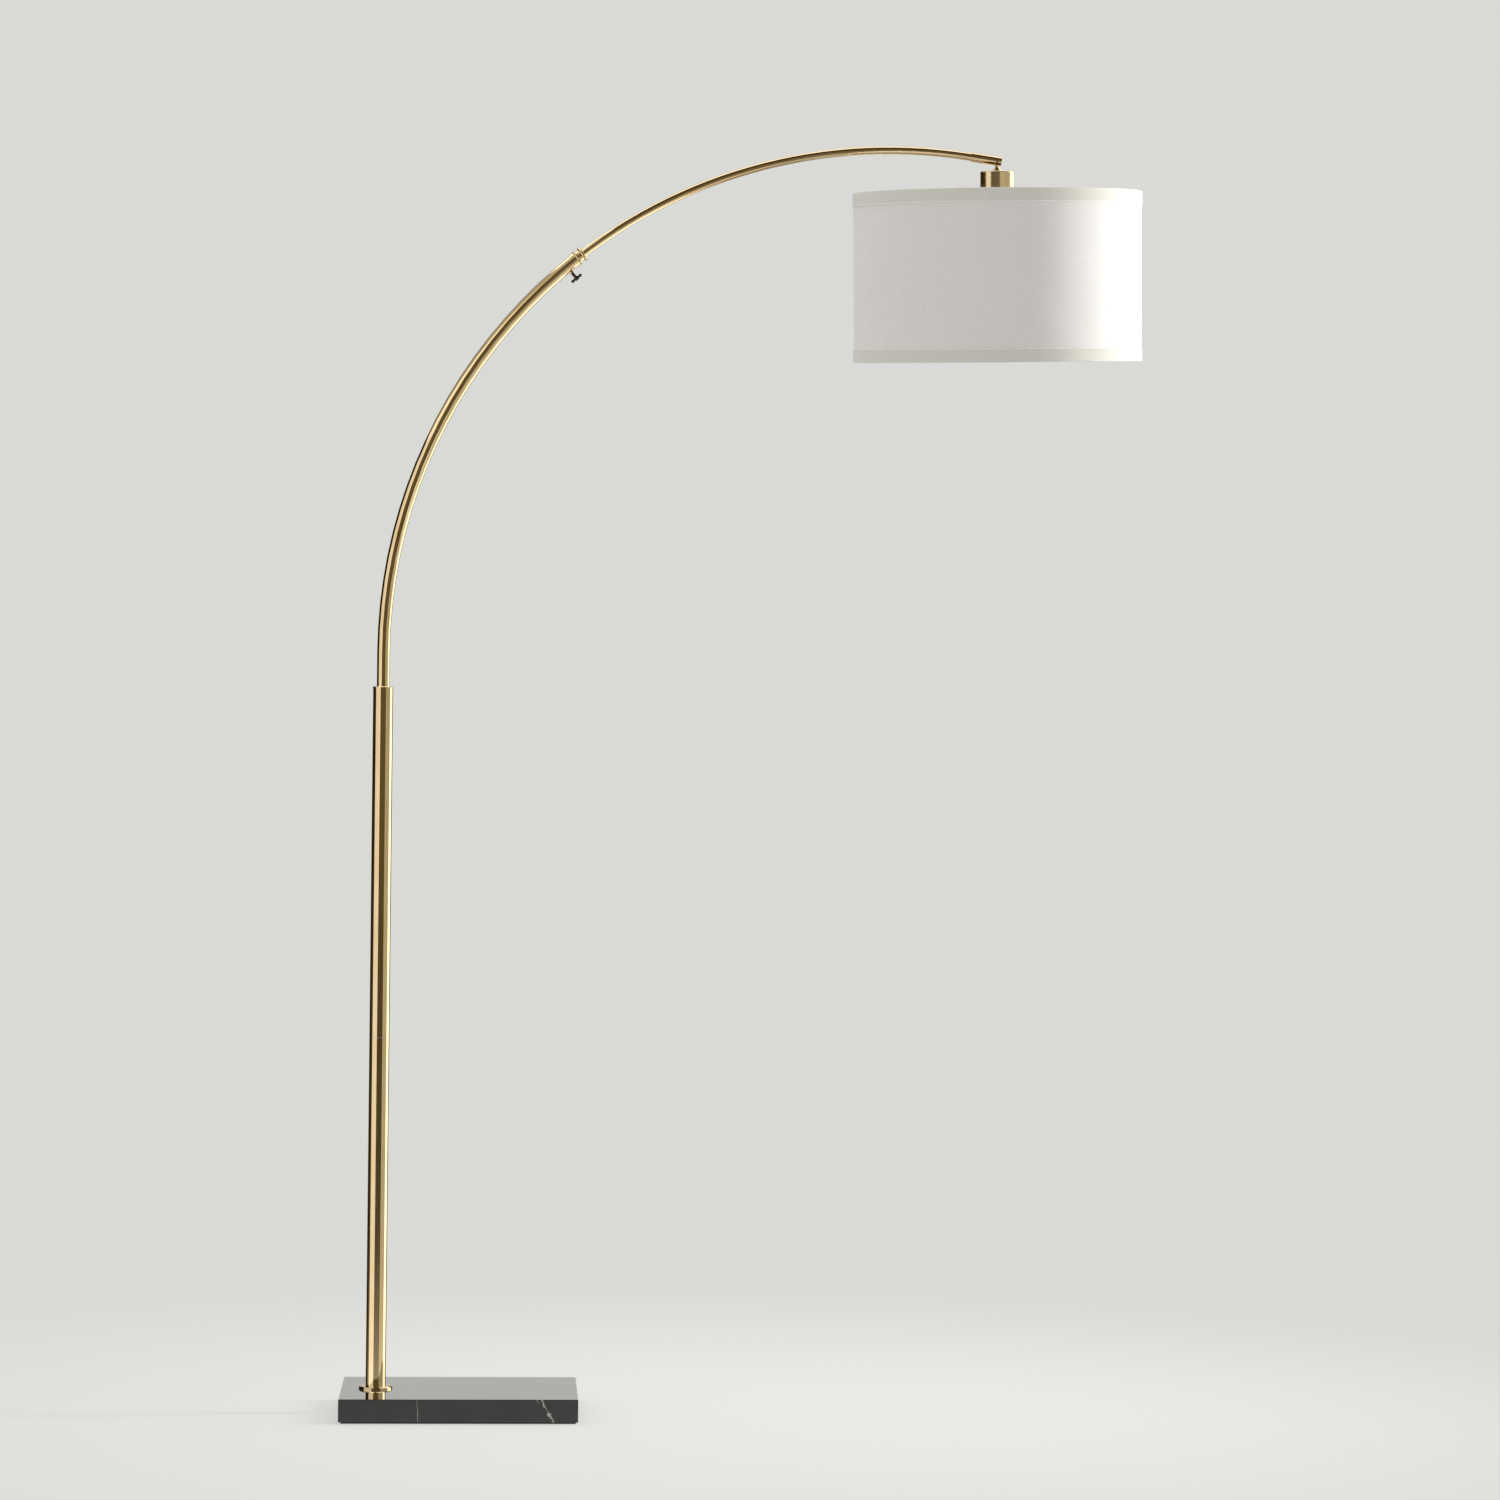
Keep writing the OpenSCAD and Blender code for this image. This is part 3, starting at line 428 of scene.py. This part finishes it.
def flex_jacket(name):
    """Clear gold insulation over copper strands, twisted inside."""
    n = Finish(name, Specular_IOR_Level=0.55, Coat_Weight=0.6, Coat_Roughness=0.12)
    here = n.place()
    x, y, z = n.split(here)
    twist = n.math("SINE", n.math("ADD", n.math("MULTIPLY", z, 520.0), n.math("MULTIPLY", x, 900.0)))
    strand = n.noise(here, 1100.0, 2.0)
    wire = n.ramp(n.math("ADD", twist, strand), 0.2, 1.4)
    colour = n.mix(wire, (0.50, 0.41, 0.20, 1), (0.70, 0.40, 0.17, 1))
    return n.link(
        Base_Color=colour, Roughness=n.ramp(strand, 0.3, 0.7, 0.22, 0.34),
        Normal=n.bump(twist, 0.00015, 0.4),
    )


THREAD_PITCH = 0.00062


def woven(name, low, high, radius, pitch=THREAD_PITCH, depth=0.00010):
    """Plain-woven cloth on a drum: warp and weft threads with slubs, in the drum's own frame."""
    n = Finish(name, Sheen_Weight=0.25, Sheen_Roughness=0.45, Specular_IOR_Level=0.25)
    u, v, r = n.split(n.round_axis(n.place(), radius))
    flat = n.join(u, v, 0.0)
    wobble = n.math("MULTIPLY", n.math("SUBTRACT", n.noise(flat, 90.0, 3.0), 0.5), pitch * 1.6)
    turn = 2 * math.pi / pitch
    warp = n.math("SINE", n.math("MULTIPLY", n.math("ADD", u, wobble), turn))
    weft = n.math("SINE", n.math("MULTIPLY", n.math("ADD", v, wobble), turn))
    over = n.math("MULTIPLY", warp, weft)
    thick = n.noise(n.scaled(flat, (36, 1500, 1)), 1.0, 2.0, 0.6)
    thick_up = n.noise(n.scaled(flat, (1500, 36, 1)), 1.0, 2.0, 0.6)
    thread = n.math("ADD", thick, thick_up)
    height = n.math("ADD", over, n.math("MULTIPLY", thread, 2.0))
    shade = n.math("ADD", n.ramp(over, -0.8, 0.8, 0.0, 0.4), n.ramp(thread, 0.75, 1.3, 0.0, 0.6))
    tone = n.noise(flat, 6.0, 3.0)
    colour = n.mix(shade, (*low, 1), (*high, 1))
    colour = n.mix(n.ramp(tone, 0.35, 0.7, 0.0, 0.10), colour, (low[0], low[1], low[2] * 0.96, 1))
    return n.link(
        Base_Color=colour, Roughness=n.ramp(thread, 0.7, 1.3, 0.75, 0.92),
        Normal=n.bump(height, depth, 0.55),
    )


def styrene(name, radius):
    """The white styrene sheet that lines the shade, with its faint rolled grain."""
    n = Finish(name, Specular_IOR_Level=0.4)
    flat = n.scaled(n.round_axis(n.in_frame(n.place(), HEAD), radius), (1, 1, 0))
    grain = n.noise(n.scaled(flat, (60, 700, 1)), 1.0, 2.0)
    tone = n.noise(flat, 8.0, 2.0)
    colour = n.mix(n.ramp(tone, 0.3, 0.7), (0.86, 0.85, 0.82, 1), (0.82, 0.81, 0.77, 1))
    return n.link(
        Base_Color=colour, Roughness=n.ramp(grain, 0.3, 0.7, 0.38, 0.50),
        Normal=n.bump(grain, 0.00004, 0.4),
    )


def opal(name):
    """The white diffusing dome of the bulb."""
    n = Finish(name, Coat_Weight=0.6, Coat_Roughness=0.08, Subsurface_Weight=0.3,
               Subsurface_Scale=0.004)
    here = n.place()
    frost = n.noise(here, 1200.0, 2.0)
    tone = n.noise(here, 40.0, 2.0)
    colour = n.mix(n.ramp(tone, 0.3, 0.7), (0.90, 0.895, 0.87, 1), (0.86, 0.855, 0.82, 1))
    return n.link(
        Base_Color=colour, Roughness=n.ramp(frost, 0.3, 0.7, 0.22, 0.34),
        Normal=n.bump(frost, 0.00002, 0.3),
    )


def plated(name):
    """Bright nickel plate on a rolled cap."""
    n = Finish(name, Metallic=1.0)
    here = n.place()
    mark = n.noise(here, 260.0, 3.0, 0.6)
    colour = n.mix(n.ramp(mark, 0.35, 0.7), (0.72, 0.72, 0.70, 1), (0.62, 0.61, 0.58, 1))
    return n.link(Base_Color=colour, Roughness=n.ramp(mark, 0.3, 0.7, 0.16, 0.28),
                  Normal=n.bump(mark, 0.00003, 0.3))


# the shade --------------------------------------------------------------

SHADE_SEGMENTS = 360
SEAM_ANGLE = math.radians(105)
# how thick the cloth and the tape are, and how far their ends lap over each other
CLOTH, CLOTH_LAP = 0.0005, 0.010
TAPE, TAPE_LAP = 0.0006, 0.016
PIPING_RADIUS = 0.0007


def seam_lift(angle, radius, thick, lap):
    """How far cloth stands out where its end laps over its start: one sharp edge, and one that fades."""
    along = ((angle - SEAM_ANGLE) % (2 * math.pi)) * radius
    return thick * max(0.0, 1 - along / lap) ** 0.5 if along < lap else 0.0


def make_shade_cloth():
    """The shade's cloth, with faint ripples and the seam where its ends lap."""
    low, high, outer = span_in("shade_fabric", HEAD)
    inner = span_in("shade_liner", HEAD)[2] + 0.00005
    rows = 28
    step = (high.z - low.z) / rows
    outside = [(outer, low.z + step * i) for i in range(rows + 1)]
    outline = outside + [(inner, z) for r, z in reversed(outside)]

    def reach(angle, radius, height):
        if radius != outer:
            return radius, height
        ripple = 0.00006 * math.sin(7 * angle + 40 * height) * math.sin(3 * angle - 9 * height)
        return radius + seam_lift(angle, radius, CLOTH, CLOTH_LAP) + ripple, height

    cloth = woven("shade_linen", (0.74, 0.725, 0.70), (0.85, 0.84, 0.82), outer)
    mesh = lathe("shade_cloth", outline, SHADE_SEGMENTS, reach)
    made = piece("shade_cloth", mesh, "head", cloth, HEAD)
    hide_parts("shade_fabric")


def make_piping(tape, outer, face, edge, side):
    """The light piping sewn along the inner edge of a trim tape of radius outer."""
    name = tape.name + "_piping"
    centre = (face + 0.0001, edge - side * PIPING_RADIUS * 0.3)
    outline = arc_points(centre, PIPING_RADIUS, 0, 360, 12)[:-1]
    cloth = woven(name + "_cloth", (0.88, 0.87, 0.83), (0.94, 0.93, 0.90), outer, 0.0009, 0.00012)
    mesh = lathe(name, outline, SHADE_SEGMENTS)
    made = piece(name, mesh, "head", cloth, HEAD)
    made.parent = tape
    made.matrix_parent_inverse = tape.matrix_world.inverted()


def make_tape(name, node, side):
    """Trim tape folded over the rim and round the wire ring. side is 1 at the top and -1 at the bottom."""
    low, high, outer = span_in(node, HEAD)
    rim = high.z if side > 0 else low.z
    edge = low.z if side > 0 else high.z
    ring = span_in("top_wire_ring" if side > 0 else "bottom_wire_ring", HEAD)
    wire_z = (ring[0].z + ring[1].z) / 2
    wire_radius = (ring[1].z - ring[0].z) / 2
    wire_r = ring[2] - wire_radius
    hug = wire_radius + TAPE
    face = outer - TAPE / 2
    fold_r = 0.0012
    inner_end = wire_z - side * 0.006
    steps = 12
    path = [(face - 0.0003, edge)]
    path += [
        (face + 0.00012 * math.sin(math.pi * i / steps), edge + (rim - edge - side * fold_r) * i / steps)
        for i in range(1, steps + 1)
    ]
    path += arc_points((face - fold_r, rim - side * fold_r), fold_r, 0, side * 90, 6)[1:]
    path += arc_points((wire_r, wire_z), hug, side * 75, side * 215, 14)
    path += [(wire_r + wire_radius - TAPE * 0.2, inner_end)]
    outline = thickened(path, TAPE)

    def reach(angle, radius, height):
        if radius > face - 0.0002:
            ripple = 0.00008 * math.sin(23 * angle + 300 * height) + 0.00005 * math.sin(57 * angle)
            return radius + seam_lift(angle, radius, TAPE, TAPE_LAP) + ripple, height
        return radius, height

    tape = woven(name + "_cloth", (0.65, 0.635, 0.58), (0.75, 0.735, 0.68), outer, 0.00042, 0.00006)
    made = piece(name, lathe(name, outline, SHADE_SEGMENTS, reach), "head", tape, HEAD)
    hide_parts(node)
    make_piping(made, outer, face, edge, side)


# the bulb ---------------------------------------------------------------

THREAD_LEAD = 0.00363
THREAD_DEPTH = 0.00055
CAP_ROWS = 66
CAP_LIP = 0.0008
CAP_LIP_R = 0.0105
BULB_SEGMENTS = 72


def make_bulb_cap():
    """The rolled screw cap."""
    low, high, outer = span_in("bulb_base", HEAD)
    root = outer - THREAD_DEPTH
    run = high.z - low.z
    wall = [(root, low.z + run * i / CAP_ROWS) for i in range(CAP_ROWS + 1)]
    lip = high.z + CAP_LIP
    outline = [(0.0, low.z)] + wall + [(CAP_LIP_R, lip), (0.0, lip)]

    def thread(angle, radius, height):
        if radius != root:
            return radius, height
        share = (height - low.z) / run
        fade = min(1.0, share * 8, (1 - share) * 8)
        wave = math.sin(2 * math.pi * height / THREAD_LEAD - angle)
        return radius + THREAD_DEPTH * fade * wave, height

    mesh = lathe("bulb_cap", outline, BULB_SEGMENTS, thread)
    made = piece("bulb_cap", mesh, "head", plated("bulb_cap_metal"), HEAD)
    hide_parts("bulb_base")


def make_bulb_insulator():
    """The black insulator at the cap's end."""
    low, high, _ = span_in("bulb_tip", HEAD)
    outline = [
        (0.0, low.z), (0.0098, low.z), (0.0085, low.z + 0.0012),
        (0.0050, high.z - 0.0006), (0.0046, high.z), (0.0, high.z),
    ]
    black = moulded("bulb_insulator", (0.02, 0.02, 0.022), (0.035, 0.034, 0.034), 0.22)
    mesh = lathe("bulb_insulator", outline, 48)
    made = piece("bulb_insulator", mesh, "head", black, HEAD)
    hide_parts("bulb_tip")


def make_bulb_housing():
    """The white body, which flares from its neck at the cap to the dome."""
    low, high, outer = span_in("bulb_body", HEAD)
    to_head = HEAD.inverted()
    neck = min((to_head @ v.co).xy.length for v in frame["nodes"]["bulb_body"].data.vertices)
    neck = max(neck, span_in("bulb_base", HEAD)[2] + 0.0004)
    steps = 14
    flank = []
    for i in range(steps):
        share = i / steps
        eased = share * share * (3 - 2 * share) * 0.45 + share * 0.55
        flank.append((neck + (outer - neck) * eased, high.z - (high.z - low.z) * share))
    top = [(0.0, high.z), (neck - 0.0010, high.z)]
    foot = [(outer, low.z + 0.0006), (outer - 0.0008, low.z), (0.0, low.z)]
    white = moulded("bulb_body_plastic", (0.80, 0.80, 0.78), (0.84, 0.84, 0.825), 0.30)
    mesh = lathe("bulb_housing", top + flank + foot, BULB_SEGMENTS)
    made = piece("bulb_housing", mesh, "head", white, HEAD)
    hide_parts("bulb_body")


def make_bulb_dome():
    """The hollow diffusing dome."""
    low, high, outer = span_in("bulb_globe", HEAD)
    wall = 0.001
    centre = (0.0, low.z + outer)
    rim = math.degrees(math.asin((high.z - centre[1]) / outer))
    shell = arc_points(centre, outer, -90, rim, 30) + arc_points(centre, outer - wall, rim, -90, 30)
    outline = [(max(r, 0.0), z) for r, z in shell]
    outline[0] = (0.0, outline[0][1])
    outline[-1] = (0.0, outline[-1][1])
    mesh = lathe("bulb_dome", outline, BULB_SEGMENTS)
    made = piece("bulb_dome", mesh, "head", opal("bulb_opal_dome"), HEAD)
    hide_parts("bulb_globe")


# the base ---------------------------------------------------------------

def felt_mesh(low, high):
    """A sheet between two corners, with soft rounded edges that swell a little."""
    thick = high.z - low.z
    columns, rows = 96, 64
    bm = bmesh.new()
    grid = {}
    for level, z in ((0, low.z), (1, high.z)):
        for i in range(columns + 1):
            for j in range(rows + 1):
                x = low.x + (high.x - low.x) * i / columns
                y = low.y + (high.y - low.y) * j / rows
                grid[level, i, j] = bm.verts.new((x, y, z))
    for i in range(columns):
        for j in range(rows):
            bm.faces.new([grid[0, i, j], grid[0, i, j + 1], grid[0, i + 1, j + 1], grid[0, i + 1, j]])
            bm.faces.new([grid[1, i, j], grid[1, i + 1, j], grid[1, i + 1, j + 1], grid[1, i, j + 1]])
    border = [(i, 0) for i in range(columns)] + [(columns, j) for j in range(rows)]
    border += [(i, rows) for i in range(columns, 0, -1)] + [(0, j) for j in range(rows, 0, -1)]
    middle = []
    for i, j in border:
        a = grid[0, i, j].co
        out = Vector((a.x - (low.x + high.x) / 2, a.y - (low.y + high.y) / 2, 0))
        side = Vector((
            math.copysign(1, out.x) if i in (0, columns) else 0,
            math.copysign(1, out.y) if j in (0, rows) else 0, 0,
        ))
        fuzz = 0.0004 + 0.0003 * math.sin(37 * i + 11 * j)
        middle.append(bm.verts.new(a + side * fuzz + Vector((0, 0, thick / 2))))
    for k in range(len(border)):
        m = (k + 1) % len(border)
        a, b = grid[0, *border[k]], grid[0, *border[m]]
        c, d = grid[1, *border[k]], grid[1, *border[m]]
        bm.faces.new([a, b, middle[m], middle[k]])
        bm.faces.new([middle[k], middle[m], d, c])
    bmesh.ops.recalc_face_normals(bm, faces=bm.faces)
    mesh = bpy.data.meshes.new("felt_sheet")
    bm.to_mesh(mesh)
    bm.free()
    return mesh


def make_felt():
    """The felt sheet under the slab."""
    low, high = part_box("base_felt")
    made = piece("felt_sheet", felt_mesh(low, high), "stand", felt("black_felt"))
    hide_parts("base_felt")


# CAD nodes --------------------------------------------------------------

def node_materials():
    """The material of every CAD node that stays."""
    screw = joint_axis("clamp_screw_turn")
    across = Vector((0, 1, 0))
    screw_frame = frame_from(joint_place("clamp_screw_turn"), screw, across)
    zinc = zinc_steel("zinc_steel")
    pole = brass("brass_pole")
    arc = brass("brass_arc", "arc")
    swivel = brass("brass_swivel", "round", SWIVEL, 0.09)
    head = brass("brass_head", "round", HEAD, 0.17)
    foot = brass("brass_foot", "round", POLE, 0.08)
    turned_arc = turned_brass("brass_collar", screw_frame)
    turned_head = turned_brass("brass_turned_head", HEAD)
    turned_swivel = turned_brass("brass_turned_swivel", SWIVEL)
    bronze = dark_bronze("dark_bronze")
    nylon = moulded("nylon", (0.74, 0.73, 0.67), (0.80, 0.79, 0.73), 0.40)
    lead = flex_jacket("lead_jacket")
    phenolic = moulded("phenolic", (0.016, 0.014, 0.013), (0.030, 0.026, 0.023), 0.18,
                       Coat_Weight=0.3, Coat_Roughness=0.1)
    rubber = moulded("rubber", (0.018, 0.018, 0.018), (0.032, 0.031, 0.030), 0.62)
    porcelain = moulded("porcelain", (0.74, 0.73, 0.69), (0.80, 0.79, 0.76), 0.26)
    coat = powder_coat("white_powder_coat")
    liner = styrene("styrene_liner", span_in("shade_liner", HEAD)[2])
    marble = black_marble("black_marble")
    return {
        marble: ["base_slab"],
        zinc: ["load_plate", "lock_washer", "base_nut", "base_pipe", "foot_plug", "pole_coupler",
               "arc_root_bush", "root_set_screw", "slider_rivets", "swivel_set_screw", "tooth_washer",
               "stem_nut"],
        rubber: ["cord_grommet"],
        foot: ["base_ring", "pole_top_cap"],
        pole: ["lower_pole", "upper_pole"],
        arc: ["lower_arc", "upper_arc"],
        swivel: ["swivel_spigot", "swivel_housing", "housing_end_plug"],
        head: ["socket_cup", "ball_stem"],
        turned_arc: ["clamp_collar", "screw_boss"],
        turned_swivel: ["pivot_screws"],
        turned_head: ["terminal_screws", "centre_contact", "screw_shell", "switch_spindle"],
        bronze: ["thumb_screw", "t_bar", "bar_end_balls"],
        nylon: ["collar_bush", "pressure_pad", "slider_plug"],
        lead: ["pole_lead", "slack_lead", "arm_lead", "head_lead"],
        phenolic: ["lamp_holder", "shade_ring_nut", "switch_knob"],
        porcelain: ["contact_block"],
        coat: ["spider_ring", "spider_arms", "top_wire_ring", "bottom_wire_ring"],
        liner: ["shade_liner"],
    }


def finish_nodes():
    """Gives every CAD node that stays its material and smooth shading."""
    for material, names in node_materials().items():
        for name in names:
            mesh = frame["nodes"][name].data
            mesh.materials.clear()
            mesh.materials.append(material)
            mesh.shade_smooth()
            mesh.set_sharp_from_angle(angle=math.radians(25))


# studio -----------------------------------------------------------------

BACKDROP = (0.698, 0.703, 0.672)
FLOOR_PAINT = (0.33, 0.33, 0.326)
FLOOR_GLOW = (0.44, 0.44, 0.433)
# what the brass mirrors: a dark room with a dim warm front
ROOM = (0.026, 0.018, 0.008)
FRONT = (0.135, 0.105, 0.048)
BEHIND = (0.60, 0.60, 0.575)
# what it mirrors below the horizon: the floor of that room
UNDER = (0.085, 0.070, 0.040)
PALE_FLOOR = (0.50, 0.50, 0.485)
NEAR_FLOOR = (0.37, 0.34, 0.30)
# the soft light of the studio, and the side from which the key light comes
SOFT = (0.735, 0.722, 0.705)
SOFT_RIGHT = (0.57, 0.563, 0.552)
KEY_SIDE = (0.98, 0.20, 0.0)
LENS = 100
CAMERA_PLACE = (0.19456, -6.62998, 1.00224)
CAMERA_YAW, CAMERA_PITCH, CAMERA_ROLL = (math.radians(a) for a in (3.3592, 0.45255, 0.58637))


def make_camera():
    data = bpy.data.cameras.new("camera")
    data.lens = LENS
    data.sensor_width = 36
    data.clip_end = 200
    camera = bpy.data.objects.new("camera", data)
    bpy.context.scene.collection.objects.link(camera)
    forward = Vector((
        math.sin(CAMERA_YAW) * math.cos(CAMERA_PITCH), math.cos(CAMERA_YAW) * math.cos(CAMERA_PITCH),
        math.sin(CAMERA_PITCH),
    ))
    level = forward.cross(UP).normalized()
    above = level.cross(forward)
    right = level * math.cos(CAMERA_ROLL) + above * math.sin(CAMERA_ROLL)
    camera.matrix_world = frame_from(Vector(CAMERA_PLACE), -forward, (-forward).cross(right))
    bpy.context.scene.camera = camera


def make_world():
    """A plain pale backdrop for the camera. The brass mirrors a dark room with the backdrop behind it, and
    matt surfaces get the soft light of a pale studio, which is weaker on the right."""
    world = bpy.data.worlds.new("studio")
    bpy.context.scene.world = world
    n = Nodes(world)
    x, y, z = n.split(n.add("ShaderNodeTexCoord").outputs["Generated"])
    low = n.ramp(z, 0.55, 0.75, 1.0, 0.0)
    room = n.mix(n.ramp(y, -0.55, -0.88), (*ROOM, 1), (*FRONT, 1))
    behind = n.math("MULTIPLY", n.ramp(y, 0.86, 0.95), low)
    room = n.mix(behind, room, (*BEHIND, 1))
    ahead = n.ramp(y, 0.5, 0.0)
    room = n.mix(n.math("MULTIPLY", n.ramp(z, 0.0, -0.06), ahead), room, (*UNDER, 1))
    shallow = n.math("MULTIPLY", n.ramp(z, -0.11, -0.16), n.ramp(z, -0.30, -0.20))
    room = n.mix(n.math("MULTIPLY", shallow, ahead), room, (*PALE_FLOOR, 1))
    room = n.mix(n.ramp(z, -0.22, -0.62), room, (*NEAR_FLOOR, 1))
    right = n.vector("DOT_PRODUCT", n.join(x, y, 0.0), KEY_SIDE)
    soft = n.mix(n.ramp(right, -0.1, 0.7), (*SOFT, 1), (*SOFT_RIGHT, 1))
    path = n.add("ShaderNodeLightPath").outputs
    surround = n.mix(path["Is Diffuse Ray"], room, soft)
    background = n.find("ShaderNodeBackground")
    n.put(background.inputs["Color"], n.mix(path["Is Camera Ray"], surround, (*BACKDROP, 1)))
    background.inputs["Strength"].default_value = 1.0


def light(name, place, width, height, radiance, tint=(1, 1, 1), seen_in=("glossy", "diffuse")):
    """A rectangular light card. seen_in limits it to reflections or to soft light."""
    data = bpy.data.lights.new(name, "AREA")
    data.shape = "RECTANGLE"
    data.size, data.size_y = width, height
    data.energy = radiance * math.pi * width * height
    data.color = tint
    made = bpy.data.objects.new(name, data)
    bpy.context.scene.collection.objects.link(made)
    made.matrix_world = place
    made.visible_camera = False
    made.visible_glossy = "glossy" in seen_in
    made.visible_diffuse = "diffuse" in seen_in


def card(name, start, end, low, high, radiance, tint, seen_in):
    """An upright light card from start to end, (x, y) points, that faces the lamp."""
    start, end = Vector(start), Vector(end)
    width, height = (end - start).length, high - low
    middle = (start + end) / 2
    centre = Vector((middle.x, middle.y, (low + high) / 2))
    facing = Vector((end.y - start.y, start.x - end.x, 0)).normalized()
    if facing.dot(Vector((0.4, 0, centre.z)) - centre) < 0:
        facing = -facing
    light(name, frame_from(centre, -facing, UP), width, height, radiance, tint, seen_in)


def make_lights():
    """Cards that only the brass mirrors, one key light that only matt surfaces get, and a softbox."""
    mirrored, soft = ("glossy",), ("diffuse",)
    card("left_mirrored", (-0.75, -1.5), (-2.6, -0.25), -1.4, 3.2, 0.96, (1, 1, 1), mirrored)
    card("right_mirrored", (1.40, -1.9), (2.6, -0.1), -1.4, 3.0, 0.46, (1, 0.99, 0.86), mirrored)
    card("key_mirrored", (2.6, 0.02), (2.2, 1.95), -1.4, 3.6, 2.2, (1.0, 0.99, 0.93), mirrored)
    card("key_light", (2.87, -0.03), (2.82, 0.43), 1.1, 2.9, 22.0, (1.0, 0.995, 0.98), soft)
    overhead = Matrix.Translation((0.6, 0.7, 3.5))
    light("overhead_softbox", overhead, 3.2, 1.9, 1.5)
    high_left = Matrix.Translation((-1.8, -0.4, 3.3))
    light("high_left_mirrored", high_left, 2.8, 4.0, 0.50, (1, 0.97, 0.90), mirrored)


def make_floor():
    """A pale floor that fades into the backdrop with distance, so that no horizon shows."""
    bm = bmesh.new()
    bmesh.ops.create_circle(bm, cap_ends=True, radius=4, segments=96)
    mesh = bpy.data.meshes.new("studio_floor")
    bm.to_mesh(mesh)
    bm.free()
    floor = bpy.data.objects.new("studio_floor", mesh)
    bpy.context.scene.collection.objects.link(floor)
    floor.visible_glossy = False
    material = bpy.data.materials.new("studio_floor")
    mesh.materials.append(material)
    n = Nodes(material)
    distance = n.vector("LENGTH", n.vector("SUBTRACT", n.place(), (0.3, -0.2, 0)))
    paint = n.find("ShaderNodeBsdfPrincipled")
    n.put(paint.inputs["Base Color"], (*FLOOR_PAINT, 1))
    paint.inputs["Roughness"].default_value = 1.0
    paint.inputs["Specular IOR Level"].default_value = 0.0
    paint.inputs["Emission Color"].default_value = (*FLOOR_GLOW, 1)
    paint.inputs["Emission Strength"].default_value = 1.0
    clear = n.add("ShaderNodeBsdfTransparent")
    far = n.ramp(distance, 0.2, 2.3)
    blend = n.add("ShaderNodeMixShader", {0: far, 1: paint.outputs[0], 2: clear.outputs[0]})
    n.put(n.find("ShaderNodeOutputMaterial").inputs["Surface"], blend.outputs[0])


# build ------------------------------------------------------------------

make_camera()
make_world()
make_lights()
make_floor()
finish_nodes()
make_shade_cloth()
make_tape("top_tape", "top_trim", 1)
make_tape("bottom_tape", "bottom_trim", -1)
make_bulb_cap()
make_bulb_insulator()
make_bulb_housing()
make_bulb_dome()
make_felt()

view = bpy.context.scene.view_settings
view.view_transform = "Standard"
view.look = "None"
